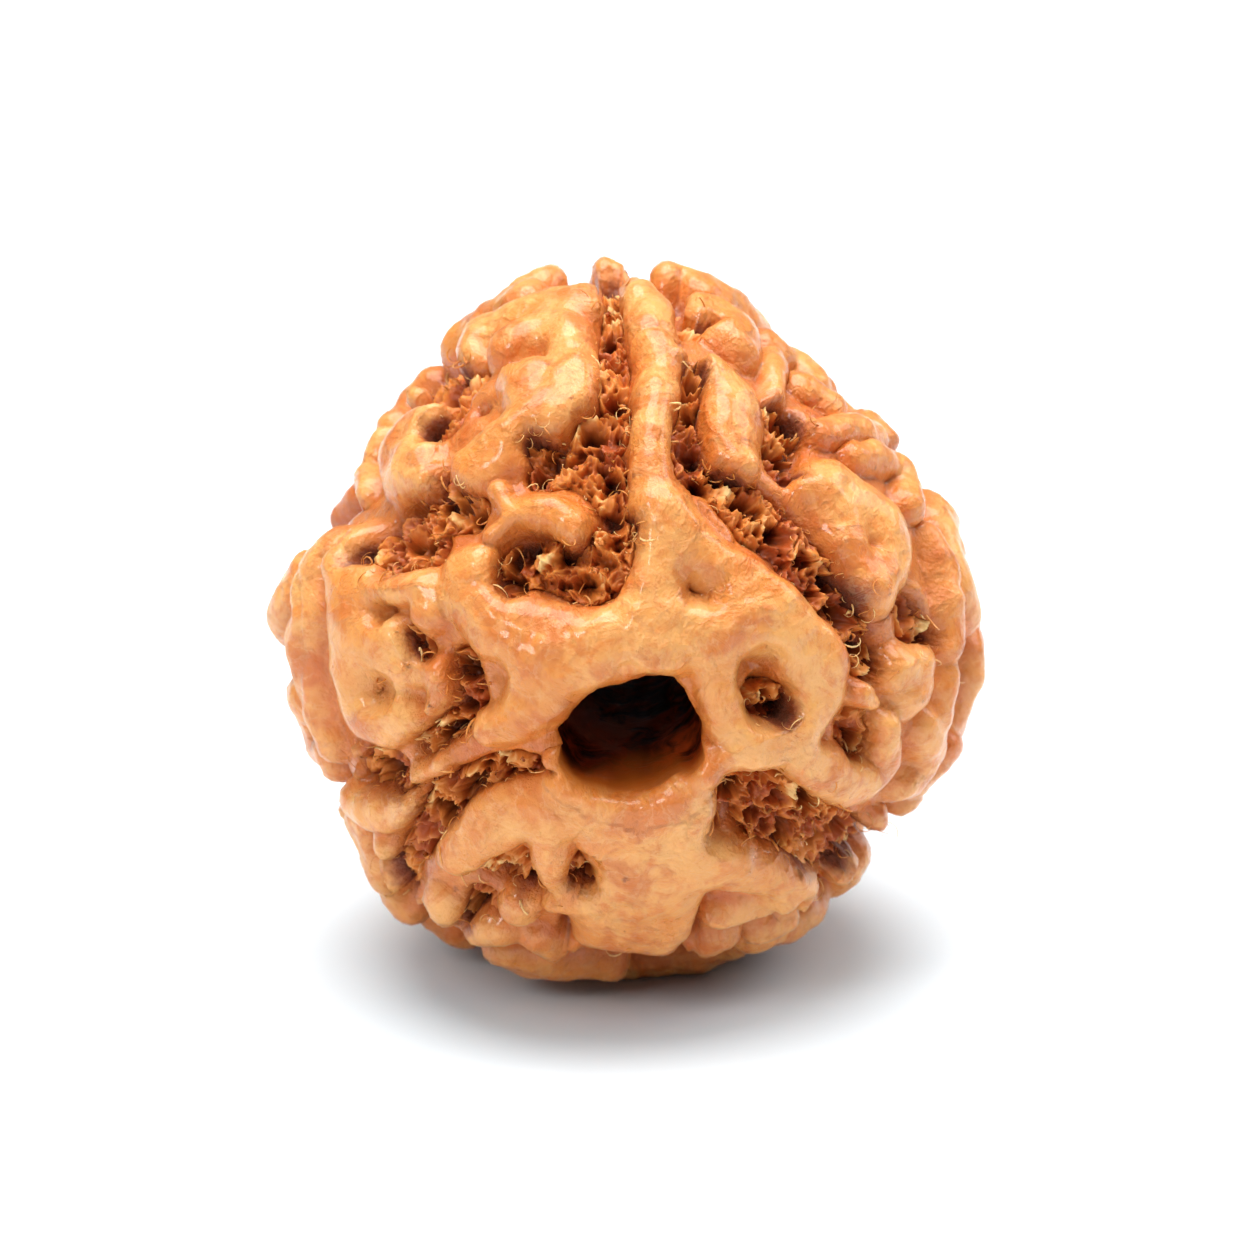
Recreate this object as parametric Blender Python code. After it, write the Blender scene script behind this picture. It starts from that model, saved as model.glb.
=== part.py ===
# Three-faced rudraksha bead: one ridged stone with a natural bore, lying on its side.
# The bore runs along Y, the mouth seen from the front is at -Y, and +Z is up.
# Lengths in the tables are millimetres; the finished mesh is in metres.

import math
import random

import bmesh
import bpy
from mathutils import Matrix
import numpy as np

MM = 0.001

# Body: the form that the crests of the ridges touch
MEAN_RADIUS = 11.0
OUTLINE_SWELL = ((0, 0.30), (20, -0.20), (33, -0.55), (50, -1.10), (60, -1.10), (70, -0.05), (85, 0.25),
                 (102, 0.65), (120, -0.45), (135, -0.75), (157, -1.60), (170, 0.40), (185, 0.30),
                 (206, -0.30), (218, 0.20), (232, 1.00), (250, 0.65), (265, 0.45), (290, 0.35),
                 (312, 0.20), (322, -0.70), (335, 0.35), (345, 0.40))   # degrees round the front view, mm
FRONT_LENGTH = 10.85         # from the centre to the front mouth
BACK_LENGTH = 12.15          # from the centre to the back mouth
RIDGE_HEIGHT = 1.65
GAP_DEPTH = 0.35             # pith floor below the foot of the ridges
WEB = 0.42                   # what joins the ridges on the front, and on the far sides
WEB_FAR = 0.12
WEB_FROM = 0.16              # share of facing the viewer where the front's web begins
WEB_REACH = 0.12
RIDGE_SUNK = 0.25            # under the crests where the drawn ridges, hollows and pits are seen
HOLLOW_SUNK = 0.60
PIT_SUNK = 1.00
WEB_SPREAD = 0.30            # how much the far web comes and goes
WEB_SEED = 61
RIDGE_FALL, RIDGE_POWER = 0.97, 2.6      # how a ridge falls off beside its crest, and a pit towards its rim
PIT_FALL, PIT_POWER = 0.60, 3.2
CREASE_SHARE = 0.5
PITH_BELOW = 0.15            # share of a ridge under which the floor sinks further
LUMP_SIZE = 2.6
LUMP_HEIGHT = 0.22
LUMP_SEED = 3
FIELD_STEPS = (0.0, 0.12, 0.24, 0.36, 0.50, 0.66, 0.84, 1.05, 1.50, 3.0)
RISE_STEPS = (0.0, 0.03, 0.15, 0.36, 0.60, 0.78, 0.90, 0.97, 1.03, 1.06)
REST_CUT = 0.42              # worn off the lowest crests, so that the bead lies still

# Bore: a rounded, five-cornered natural hole
BORE_OUTLINE = [(-2.48, 0.05), (-2.40, -0.45), (-2.15, -1.00), (-1.74, -1.46), (-1.15, -1.76), (-0.35, -1.92),
                (0.25, -1.94), (0.95, -1.80), (1.60, -1.42), (2.20, -0.80), (2.36, -0.15), (1.88, 0.93),
                (1.36, 1.80), (0.75, 1.76), (-0.12, 1.62), (-1.20, 1.36), (-1.90, 0.88)]
BORE_CENTRE = (0.10, 0.12)
BORE_MOUTH = 1.02            # widths at the mouths and in the middle, as shares of the outline's
BORE_WAIST = 0.88
BORE_TAPER = 1.2
BORE_SIDES = 40
BORE_RINGS = 13
BORE_OVERRUN = 1.5

# Mesh
ICO_LEVEL = 2
EDGE_CUTS = 10
EVENING_ROUNDS = 5           # points slide along the surface towards its steep sides
EVENING_SHARE = 0.6
SOFTENING = 0.26             # the surface is averaged over this reach, in mm

# The view that the front tables are drawn in
VIEW_TILT = math.radians(20.0)
VIEW_DISTANCE = 300.0

# Ridges seen from the front: crest lift, then (x, y, half width) along each one
FRONT_RIDGES = [
    # Crown seam and the collar round the mouth
    (0.92, [(0.25, 10.62, 0.50), (0.35, 10.30, 0.50)]),
    (0.98, [(0.75, 10.20, 0.70), (0.80, 9.50, 0.72), (0.80, 8.95, 0.62)]),
    (1.05, [(1.10, 8.55, 0.60), (1.05, 7.90, 0.62), (0.92, 7.00, 0.58), (0.78, 6.00, 0.60),
            (0.72, 5.00, 0.60), (0.85, 4.00, 0.68), (1.15, 3.10, 0.85)]),
    (1.02, [(1.15, 3.10, 0.85), (0.85, 1.90, 0.80), (0.80, 0.70, 0.90), (1.10, -0.50, 0.95)]),
    (1.00, [(1.80, 2.55, 0.80), (2.90, 1.75, 0.80), (4.00, 0.80, 1.00), (4.90, 0.05, 1.10),
            (5.75, -0.90, 1.10), (6.15, -1.85, 1.08), (5.95, -2.65, 0.98), (5.00, -3.50, 0.85)]),
    (0.98, [(1.10, -0.50, 0.95), (2.50, -0.20, 0.80), (3.80, -0.10, 0.80), (4.80, -0.10, 0.90)]),
    (1.00, [(2.30, -0.30, 0.70), (2.70, -1.30, 0.62), (2.90, -2.30, 0.55), (3.30, -3.30, 0.68),
            (4.20, -3.85, 0.72), (5.10, -3.60, 0.80)]),
    (1.02, [(1.10, -0.60, 1.00), (-0.30, -0.60, 1.10), (-1.70, -0.70, 1.15), (-3.00, -0.60, 1.05),
            (-4.20, -0.05, 1.02), (-4.95, 0.70, 1.00), (-5.10, 1.50, 0.92), (-4.75, 1.90, 0.55)]),
    (0.97, [(-1.30, -1.20, 0.90), (-2.60, -1.70, 0.85), (-3.05, -2.60, 0.82), (-3.80, -3.25, 0.66),
            (-4.45, -3.45, 0.55)]),
    (0.96, [(-2.35, -4.75, 0.45), (-1.50, -5.55, 0.55), (0.10, -5.95, 0.60), (1.60, -5.70, 0.60),
            (2.40, -4.95, 0.50)]),
    (0.98, [(2.30, -4.60, 0.45), (3.60, -4.20, 0.42), (5.10, -4.15, 0.70), (6.20, -4.80, 0.80),
            (7.20, -5.20, 0.84), (8.00, -4.90, 0.76), (8.25, -4.10, 0.60), (8.20, -3.30, 0.45)]),
    # Upper left: the long bent brow and what lies round it
    (1.00, [(-1.60, 10.30, 0.85), (-2.60, 10.15, 0.90), (-3.60, 9.75, 0.85), (-4.40, 9.30, 0.70)]),
    (1.05, [(-3.75, 8.85, 0.68), (-2.95, 9.32, 0.68), (-1.95, 9.36, 0.68), (-1.60, 8.50, 0.68),
            (-1.60, 7.60, 0.72), (-2.20, 6.85, 0.82), (-3.20, 6.20, 0.90), (-4.20, 5.55, 0.92),
            (-5.15, 4.85, 0.92)]),
    (0.90, [(-3.30, 8.00, 0.90), (-2.90, 7.40, 1.00)]),
    (0.96, [(-4.80, 9.00, 0.70), (-5.15, 8.40, 0.66)]),
    (0.85, [(-6.75, 7.30, 0.50), (-6.60, 7.45, 0.45)]),
    (1.04, [(-6.20, 6.50, 0.62), (-7.00, 6.20, 0.88), (-7.50, 5.50, 0.95), (-7.15, 4.85, 0.88),
            (-6.55, 4.60, 0.70)]),
    (0.70, [(-6.70, 5.60, 0.70), (-6.50, 5.40, 0.60)]),
    (0.92, [(-8.00, 5.90, 0.55), (-8.20, 5.00, 0.60), (-8.35, 4.20, 0.50)]),
    (0.90, [(-3.20, 3.60, 0.55), (-2.55, 3.55, 0.66), (-1.90, 3.15, 0.52), (-1.70, 2.70, 0.36)]),
    (0.55, [(-4.15, 4.15, 0.38), (-3.85, 3.40, 0.36), (-4.45, 2.80, 0.30)]),
    # Left cheek
    (0.98, [(-9.35, 2.50, 0.55), (-9.95, 1.95, 0.68), (-10.25, 1.20, 0.72), (-10.25, 0.30, 0.66),
            (-10.40, -0.80, 0.74), (-10.20, -2.00, 0.72), (-9.90, -3.00, 0.68), (-9.50, -3.90, 0.58)]),
    (1.00, [(-8.70, 2.70, 0.60), (-9.00, 1.90, 0.85), (-9.00, 1.00, 0.90), (-8.95, 0.00, 0.90),
            (-8.90, -1.20, 0.95), (-8.80, -2.30, 0.90), (-8.20, -3.15, 0.80), (-7.20, -3.20, 0.72)]),
    (0.92, [(-8.20, 1.20, 0.70), (-7.30, 1.25, 0.62), (-6.60, 0.95, 0.62), (-6.45, 0.20, 0.60)]),
    (1.00, [(-8.20, -0.65, 0.80), (-7.30, -0.75, 0.78), (-6.90, -1.50, 0.55)]),
    (0.80, [(-7.60, -2.00, 0.80), (-7.50, -2.40, 0.70)]),
    (0.88, [(-6.10, -1.55, 0.44), (-6.10, -2.20, 0.48), (-6.30, -2.75, 0.30)]),
    # Lower left
    (0.66, [(-8.70, -4.25, 0.32), (-8.75, -4.90, 0.30)]),
    (0.96, [(-8.60, -5.85, 0.66), (-7.75, -6.10, 0.62), (-7.05, -5.85, 0.58)]),
    (0.60, [(-6.85, -4.95, 0.36), (-6.10, -4.60, 0.36)]),
    (0.95, [(-7.75, -7.25, 0.55), (-7.55, -8.05, 0.62), (-7.00, -8.80, 0.60)]),
    (0.98, [(-5.95, -8.95, 0.62), (-5.50, -9.50, 0.70), (-4.80, -9.85, 0.66), (-4.10, -9.95, 0.58)]),
    (1.03, [(-1.90, -5.90, 0.85), (-3.40, -6.00, 0.92), (-4.60, -6.60, 0.92), (-5.40, -7.40, 0.90)]),
    (0.92, [(-3.35, -8.65, 0.52), (-3.50, -9.20, 0.62)]),
    (0.86, [(-2.50, -6.60, 0.60), (-2.35, -7.70, 0.48), (-2.15, -8.80, 0.66)]),
    # Chin and the lower right
    (1.04, [(-0.60, -6.60, 1.05), (-0.40, -7.80, 1.10), (-0.60, -9.00, 1.15), (-0.80, -10.00, 0.95)]),
    (1.02, [(1.20, -6.70, 1.05), (1.40, -7.90, 1.10), (1.20, -9.10, 1.10), (0.80, -10.10, 0.95)]),
    (0.99, [(2.70, -7.90, 0.75), (3.70, -8.10, 0.84), (4.70, -8.20, 0.80), (5.10, -8.60, 0.55)]),
    (0.92, [(2.90, -9.35, 0.52), (3.90, -9.25, 0.55), (4.90, -9.00, 0.50)]),
    (0.92, [(2.40, -5.90, 0.42), (2.00, -6.60, 0.40), (2.60, -7.40, 0.40), (3.60, -7.50, 0.40)]),
    (0.94, [(-2.90, -10.20, 0.55), (-2.30, -10.50, 0.60)]),
    (0.90, [(2.30, -10.50, 0.50), (3.10, -10.20, 0.50)]),
    (0.90, [(4.20, -9.95, 0.45), (5.10, -9.50, 0.45)]),
    (0.92, [(5.60, -7.95, 0.34), (5.80, -8.60, 0.44), (5.60, -9.00, 0.40)]),
    (1.05, [(7.10, -7.45, 0.62), (7.00, -8.00, 0.70)]),
    (1.00, [(7.85, -6.45, 0.52), (7.80, -6.90, 0.54)]),
    # Right side
    (1.03, [(9.50, -3.50, 0.62), (9.75, -4.15, 0.70), (9.25, -4.90, 0.72), (8.80, -5.20, 0.55)]),
    (1.03, [(8.65, -1.55, 0.72), (9.25, -1.75, 0.90), (9.00, -2.35, 0.82)]),
    (0.94, [(10.20, -2.00, 0.60), (10.10, -2.80, 0.55)]),
    (0.78, [(7.50, -2.30, 0.40), (7.70, -2.65, 0.38)]),
    (1.00, [(9.80, 2.60, 0.62), (10.10, 1.60, 0.72), (10.25, 0.50, 0.72), (10.25, -0.60, 0.70)]),
    (0.62, [(9.30, 1.00, 0.34), (9.70, 0.20, 0.34), (9.55, -0.70, 0.34)]),
    # Upper right: pendant ridge, shoulder, and the lobes behind them
    (1.00, [(2.35, 10.00, 0.72), (2.90, 9.80, 0.80), (3.50, 9.30, 0.85), (3.65, 8.70, 0.70)]),
    (0.92, [(2.55, 9.50, 0.60), (3.00, 9.20, 0.60)]),
    (0.80, [(1.85, 8.35, 0.36), (2.50, 8.05, 0.46)]),
    (1.04, [(3.00, 7.80, 0.85), (3.45, 7.30, 0.98), (3.30, 6.60, 0.98), (3.25, 5.90, 0.94),
            (3.40, 5.20, 0.84), (3.50, 4.60, 0.66)]),
    (0.92, [(4.68, 8.40, 0.42), (4.66, 7.60, 0.42), (4.80, 6.80, 0.38)]),
    (0.98, [(5.60, 7.50, 0.66), (6.35, 7.00, 0.62)]),
    (0.95, [(5.45, 6.60, 0.52), (5.50, 6.45, 0.50)]),
    (0.96, [(6.10, 6.05, 0.45), (7.00, 6.10, 0.55), (7.80, 5.90, 0.50)]),
    (0.96, [(7.30, 5.30, 0.48), (8.20, 5.15, 0.55), (8.80, 4.70, 0.60), (9.00, 3.80, 0.55)]),
    (1.08, [(5.75, 4.55, 0.55), (6.80, 4.30, 0.90), (7.70, 3.60, 0.98), (8.30, 2.80, 0.96),
            (8.45, 2.00, 0.90), (8.00, 1.20, 0.80), (7.60, 0.70, 0.60)]),
    (0.86, [(6.75, 3.30, 0.80), (7.10, 2.30, 0.80), (7.30, 1.40, 0.70)]),
]

# Hollows pressed into the skin: depth, x, y, radius
FRONT_DIMPLES = [
    (0.35, 2.35, 0.95, 0.80), (0.38, 4.10, -1.30, 0.85), (0.45, 4.25, -2.50, 1.00),
    (0.40, -3.60, -7.70, 1.10), (0.35, -2.80, -8.30, 0.70), (0.50, -1.40, -7.55, 0.75),
    (0.50, -7.60, -2.10, 0.80), (0.60, -7.60, 0.25, 0.52), (0.70, -2.75, 2.25, 0.55),
    (1.10, 1.90, 5.10, 0.46), (1.00, -6.90, 3.45, 0.42), (1.00, -7.55, -4.65, 0.62),
    (0.90, -5.00, -1.55, 0.55), (0.70, -4.60, 6.75, 0.45), (0.25, -3.00, 8.20, 0.80),
    (0.90, 4.75, 5.00, 0.42), (0.90, 7.15, -1.05, 0.48), (0.50, 2.65, -6.55, 0.46),
    (0.50, -6.20, 5.70, 0.50), (0.80, 8.80, -0.10, 0.60), (0.90, 7.00, -3.60, 0.55),
]

# Fibrous pits and seams seen from the front: how complete, then (x, y, half width) along each one
FRONT_PITS = [
    # Beside the crown seam
    (1.00, [(-0.50, 10.60, 0.32), (-0.50, 9.50, 0.36), (-0.45, 8.50, 0.40), (-0.40, 7.50, 0.46),
            (-0.50, 6.50, 0.58), (-0.85, 5.80, 0.75)]),
    (0.85, [(-2.90, 5.35, 0.40), (-2.10, 5.05, 0.55), (-1.20, 5.00, 0.85), (-0.60, 4.20, 0.70),
            (-0.35, 3.30, 0.50)]),
    (0.90, [(-2.80, 4.50, 0.32), (-2.20, 4.60, 0.34)]),
    (1.00, [(1.95, 7.70, 0.26), (2.00, 6.80, 0.38), (1.85, 5.90, 0.40), (1.85, 5.05, 0.48),
            (2.15, 4.30, 0.36)]),
    (0.90, [(1.75, 9.05, 0.24), (2.10, 8.85, 0.26), (2.60, 8.75, 0.22)]),
    # Upper left
    (1.00, [(-6.40, 7.35, 0.40), (-5.50, 7.30, 0.60), (-4.70, 7.25, 0.55)]),
    (0.95, [(-5.05, 6.60, 0.36), (-5.50, 6.10, 0.38), (-5.95, 5.70, 0.36)]),
    (1.00, [(-8.10, 1.90, 0.36), (-7.40, 2.40, 0.60), (-6.60, 2.90, 0.85), (-5.60, 3.40, 0.72),
            (-4.80, 3.40, 0.50)]),
    (1.00, [(-6.90, 1.80, 0.62), (-6.10, 2.20, 0.62)]),
    (0.90, [(-5.50, 4.30, 0.42), (-5.70, 3.80, 0.50)]),
    # Centre
    (1.00, [(-3.55, 1.15, 0.52), (-3.00, 1.90, 0.72), (-2.20, 1.55, 0.76), (-1.30, 1.45, 0.82),
            (-0.55, 2.10, 0.72), (-0.10, 2.85, 0.52)]),
    (1.00, [(-5.00, -1.30, 0.44), (-4.85, -2.20, 0.48), (-5.05, -2.90, 0.40), (-5.60, -3.35, 0.38),
            (-6.20, -3.80, 0.40)]),
    (0.80, [(-6.50, -0.30, 0.24), (-6.20, -0.90, 0.22)]),
    (1.00, [(-7.90, -4.60, 0.54), (-7.35, -4.55, 0.66), (-6.85, -4.80, 0.48)]),
    # The fissure to the lower left
    (1.00, [(-2.30, -4.45, 0.20), (-3.50, -4.40, 0.32), (-4.60, -4.80, 0.44), (-5.40, -5.30, 0.55),
            (-6.00, -6.10, 0.50), (-6.50, -6.90, 0.44), (-6.90, -7.60, 0.40)]),
    (0.95, [(-7.15, -7.15, 0.45), (-6.65, -8.00, 0.34), (-6.40, -8.70, 0.28)]),
    (1.00, [(-4.35, -7.45, 0.40), (-3.55, -7.60, 0.58), (-2.80, -7.95, 0.44)]),
    (0.95, [(-1.60, -7.55, 0.40), (-1.20, -7.75, 0.42)]),
    (0.95, [(-4.90, -9.00, 0.38), (-4.40, -8.40, 0.32), (-3.95, -8.90, 0.24)]),
    # Lower right
    (1.00, [(3.35, -5.30, 0.70), (4.20, -5.65, 0.98), (5.20, -6.05, 0.98), (6.30, -6.50, 0.64),
            (7.25, -6.50, 0.50)]),
    (1.00, [(4.20, -6.50, 0.42), (5.50, -7.05, 0.46), (6.40, -7.30, 0.36)]),
    (1.00, [(3.95, -2.50, 0.50), (4.50, -2.58, 0.50)]),
    (1.00, [(6.90, -3.05, 0.38), (6.85, -3.85, 0.46)]),
    # The diagonal band and the right side
    (1.00, [(2.70, 4.20, 0.50), (4.00, 3.30, 0.74), (5.00, 2.40, 0.80), (5.90, 1.30, 0.72),
            (6.75, 0.10, 0.72), (7.25, -0.90, 0.60), (7.35, -1.45, 0.40)]),
    (1.00, [(4.20, 6.20, 0.36), (4.90, 6.00, 0.55), (4.70, 5.20, 0.55), (4.95, 4.60, 0.46)]),
    (1.00, [(8.15, 0.60, 0.38), (8.60, 0.15, 0.62), (9.10, -0.50, 0.46)]),
]

# Creases between ridges that touch: strength, then (x, y, half width) along each one
FRONT_CREASES = [
    (1.00, [(1.62, 10.60, 0.18), (1.66, 9.90, 0.22), (1.62, 9.20, 0.20)]),
    (0.55, [(0.10, 8.75, 0.12), (0.80, 8.80, 0.12), (1.50, 8.65, 0.12)]),
    (0.50, [(0.15, 10.60, 0.12), (0.60, 10.40, 0.14), (0.95, 10.75, 0.12)]),
    (0.50, [(-1.20, 10.02, 0.16), (-2.20, 10.00, 0.16), (-3.20, 9.85, 0.16), (-4.10, 9.45, 0.16)]),
    (0.60, [(-9.75, 2.60, 0.16), (-9.85, 1.00, 0.16), (-9.90, -0.80, 0.16), (-9.80, -2.60, 0.16)]),
    (0.60, [(2.20, -8.80, 0.16), (3.20, -8.85, 0.16), (4.40, -8.80, 0.16), (5.20, -8.90, 0.14)]),
    (0.90, [(-1.95, -8.90, 0.18), (-2.00, -9.60, 0.20), (-1.95, -10.40, 0.20)]),
    (0.70, [(2.20, -9.00, 0.20), (2.10, -9.80, 0.20), (2.05, -10.40, 0.20)]),
]

# Ridges under the bead, in plan, that carry it
REST_RIDGES = [
    (1.02, [(-3.2, -1.6, 0.9), (-1.0, -2.0, 1.15), (1.4, -1.8, 1.15), (3.2, -2.2, 0.8)]),
    (1.02, [(-2.8, 2.6, 0.8), (-0.8, 2.1, 1.15), (1.6, 2.3, 1.15), (3.4, 1.6, 0.8)]),
    (1.00, [(-0.6, -1.9, 1.0), (-0.2, 0.2, 0.95), (0.2, 2.1, 1.0)]),
]

SEAM_CLOCKS = (92.0, 214.0, 327.0)
SEAM_FROM = (101.0, 84.0, 84.0)      # degrees from the front mouth
SEAM_TO = 152.0
SEAM_SWAY = 3.0
SEAM_HALF_WIDTH = 0.52
SEAM_LIFT = 0.98
SEAM_PIT_SEED = 17
SEAM_PIT_GAP = 0.42
SEAM_PIT_WIDTHS = (0.40, 0.30)
COLLAR_ANGLE = 163.0
COLLAR_HALF_WIDTH = 0.95
SPUR_LIFT = 0.96
SPUR_HALF_WIDTHS = (0.85, 0.62)
COLLAR_OPENING = 13.0                # degrees left open at each seam

# Worm-like ridges that fill the rest by growth from seeds
WORM_SEED = 41
WORM_STARTS = 1400
WORM_STEP = 0.40
WORM_GAP = 0.26
WORM_WIDTHS = (0.74, 1.12)
WORM_LIFTS = (0.88, 1.04)
MOUTH_CLEARANCE = (2.6, 2.6)         # round each mouth
WORM_LONGEST = 20
FRONT_ZONE = 0.21                    # share of facing the viewer past which none grow


def view_axes():
    toward = np.array([0.0, -math.cos(VIEW_TILT), math.sin(VIEW_TILT)])
    up = np.array([0.0, math.sin(VIEW_TILT), math.cos(VIEW_TILT)])
    return np.array([1.0, 0.0, 0.0]), up, toward


def unit_rows(rows):
    return rows / np.linalg.norm(rows, axis=-1, keepdims=True)


def body_radius(d):
    # An egg along the bore, swollen and flattened round the outline of the front view
    length = np.where(d[:, 1] < 0, FRONT_LENGTH, BACK_LENGTH)
    side = np.sqrt(np.clip(1 - d[:, 1] ** 2, 0, 1))
    egg = 1 / np.sqrt((side / MEAN_RADIUS) ** 2 + (d[:, 1] / length) ** 2)
    right, up, toward = view_axes()
    turn = np.degrees(np.arctan2(d @ up, d @ right))
    angles, swell = np.array(OUTLINE_SWELL).T
    near = np.interp(turn, angles, swell, period=360)
    for step in (-9.0, 9.0):
        near = near + 0.5 * np.interp(turn + step, angles, swell, period=360)
    return egg + near / 2 * (1 - (d @ toward) ** 2) ** 1.5


def from_front(x, y, sunk=0.0):
    # Direction of the point of the body seen at x, y; what is nearer looks larger
    right, up, toward = view_axes()
    d, nearness = toward, 1.0
    for _ in range(8):
        radius = float(body_radius(d[None])[0]) - sunk
        reach = min(math.hypot(x, y) * nearness, radius * 0.995)
        depth = math.sqrt(radius ** 2 - reach ** 2)
        nearness = 1.0 - depth / VIEW_DISTANCE
        share = reach / max(math.hypot(x, y), 1e-9)
        d = unit_rows(x * share * right + y * share * up + depth * toward)
    return d


def from_below(x, y):
    # Direction of the point at x, y on the underside, in plan
    return unit_rows(np.array([x, y, -math.sqrt(MEAN_RADIUS ** 2 - x * x - y * y)]))


def from_clock(clock, polar):
    # Clock angle about the bore, 0 at +X and 90 at +Z; polar angle from the front mouth
    c, p = math.radians(clock), math.radians(polar)
    return np.array([math.cos(c) * math.sin(p), -math.cos(p), math.sin(c) * math.sin(p)])


def smoothed(points, steps=4):
    # Catmull-Rom curve through rows of numbers
    p = [np.array(row, float) for row in [points[0]] + list(points) + [points[-1]]]
    out = []
    for i in range(1, len(p) - 2):
        for k in range(steps):
            t = k / steps
            out.append(0.5 * (2 * p[i] + (p[i + 1] - p[i - 1]) * t
                              + (2 * p[i - 1] - 5 * p[i] + 4 * p[i + 1] - p[i + 2]) * t ** 2
                              + (3 * p[i] - p[i - 1] - 3 * p[i + 1] + p[i + 2]) * t ** 3))
    out.append(p[-2])
    return out


def stroke_on_body(lift, path, place, *sunk):
    rows = smoothed(path)
    return lift, np.array([place(r[0], r[1], *sunk) for r in rows]), np.array([r[2] for r in rows])


def seam_ridges():
    ridges = []
    for clock, start in zip(SEAM_CLOCKS, SEAM_FROM):
        polars = np.linspace(start, SEAM_TO, 13)
        line = [from_clock(clock + SEAM_SWAY * math.sin(math.radians(5 * (p - start))), p) for p in polars]
        ridges.append((SEAM_LIFT, np.array(line), np.full(len(polars), SEAM_HALF_WIDTH)))
    return ridges


def seam_pits():
    # Broken rows of fibrous pits along both sides of each far seam
    draw = random.Random(SEAM_PIT_SEED)
    pits = []
    for clock, start in zip(SEAM_CLOCKS, SEAM_FROM):
        for side in (-1, 1):
            polar = start + 3.0
            while polar < SEAM_TO - 6:
                length = draw.uniform(5, 16)
                sway = SEAM_SWAY * math.sin(math.radians(5 * (polar - start)))
                offset = side * (SEAM_HALF_WIDTH + SEAM_PIT_GAP) / MEAN_RADIUS
                polars = np.linspace(polar, min(polar + length, SEAM_TO), 4)
                line = [from_clock(clock + sway + math.degrees(offset / math.sin(math.radians(p))), p)
                        for p in polars]
                pits.append((1.0, np.array(line), np.linspace(*SEAM_PIT_WIDTHS, len(line))))
                polar += length + draw.uniform(1.5, 5)
    return pits


def far_collar():
    # The rim round the far mouth, open at the seams, with short ridges running off it
    ridges = []
    for start, end in zip(SEAM_CLOCKS, SEAM_CLOCKS[1:] + (SEAM_CLOCKS[0] + 360,)):
        clocks = np.linspace(start + COLLAR_OPENING, end - COLLAR_OPENING, 12)
        line = [from_clock(c, COLLAR_ANGLE + 1.5 * math.sin(math.radians(4 * c))) for c in clocks]
        ridges.append((1.0, np.array(line), np.full(len(line), COLLAR_HALF_WIDTH)))
        for share, reach in ((0.22, 143.0), (0.55, 138.0), (0.85, 145.0)):
            clock = start + share * (end - start)
            line = [from_clock(clock + 0.3 * (p - 150), p) for p in np.linspace(160, reach, 6)]
            ridges.append((SPUR_LIFT, np.array(line), np.linspace(*SPUR_HALF_WIDTHS, len(line))))
    return ridges


def clearance(point, points, widths):
    return float((np.linalg.norm(points - point, axis=1) - widths).min())


def worm_ridges(ridges):
    # Ridges grown on the rest: seeds on a golden spiral, each growing both ways
    # until it nears another ridge
    draw = random.Random(WORM_SEED)
    toward = view_axes()[2]
    bores = np.array([from_clock(0, 0), from_clock(0, 180)]) * MEAN_RADIUS
    points = np.concatenate([r[1] for r in ridges] + [bores / MEAN_RADIUS]) * MEAN_RADIUS
    widths = np.concatenate([r[2] for r in ridges] + [np.array(MOUTH_CLEARANCE)])
    order = list(range(WORM_STARTS))
    draw.shuffle(order)
    grown = []
    for i in order:
        height = 1 - 2 * (i + 0.5) / WORM_STARTS
        turn = i * math.pi * (3 - math.sqrt(5))
        ring = math.sqrt(1 - height * height)
        seed = np.array([ring * math.cos(turn), height, ring * math.sin(turn)])
        half = draw.uniform(*WORM_WIDTHS)
        heading = draw.uniform(0, 2 * math.pi)
        bend = draw.uniform(-0.35, 0.35)
        longest = draw.randint(3, WORM_LONGEST)
        room = WORM_GAP + half
        if seed @ toward > FRONT_ZONE or clearance(seed * MEAN_RADIUS, points, widths) < room:
            continue
        side = unit_rows(np.cross(seed, [0.3, 1.0, 0.2]))
        ahead = math.cos(heading) * side + math.sin(heading) * np.cross(seed, side)
        arms = []
        for sign in (1.0, -1.0):
            here, way, curl, arm = seed, ahead * sign, bend * sign, []
            for _ in range(longest):
                curl += draw.uniform(-0.12, 0.12)
                way = way * math.cos(curl) + np.cross(here, way) * math.sin(curl)
                here = unit_rows(here + way * WORM_STEP / MEAN_RADIUS)
                way = unit_rows(way - (way @ here) * here)
                if here @ toward > FRONT_ZONE or clearance(here * MEAN_RADIUS, points, widths) < room:
                    break
                arm.append(here)
            arms.append(arm)
        line = np.array(arms[1][::-1] + [seed] + arms[0])
        swell = half * (1 + 0.12 * np.sin(np.arange(len(line)) * 1.3 + heading))
        grown.append((draw.uniform(*WORM_LIFTS), line, swell))
        points = np.concatenate([points, line * MEAN_RADIUS])
        widths = np.concatenate([widths, swell])
    return grown


def all_strokes():
    # Every ridge, pit and crease, each as its strength, its line of directions and half widths
    ridges = [stroke_on_body(lift, path, from_front, RIDGE_SUNK) for lift, path in FRONT_RIDGES]
    ridges += [stroke_on_body(lift, path, from_below) for lift, path in REST_RIDGES]
    ridges += seam_ridges() + far_collar()
    pits = [stroke_on_body(depth, path, from_front, PIT_SUNK) for depth, path in FRONT_PITS] + seam_pits()
    creases = [stroke_on_body(depth, path, from_front, HOLLOW_SUNK) for depth, path in FRONT_CREASES]
    return ridges + worm_ridges(ridges), pits, creases


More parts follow.
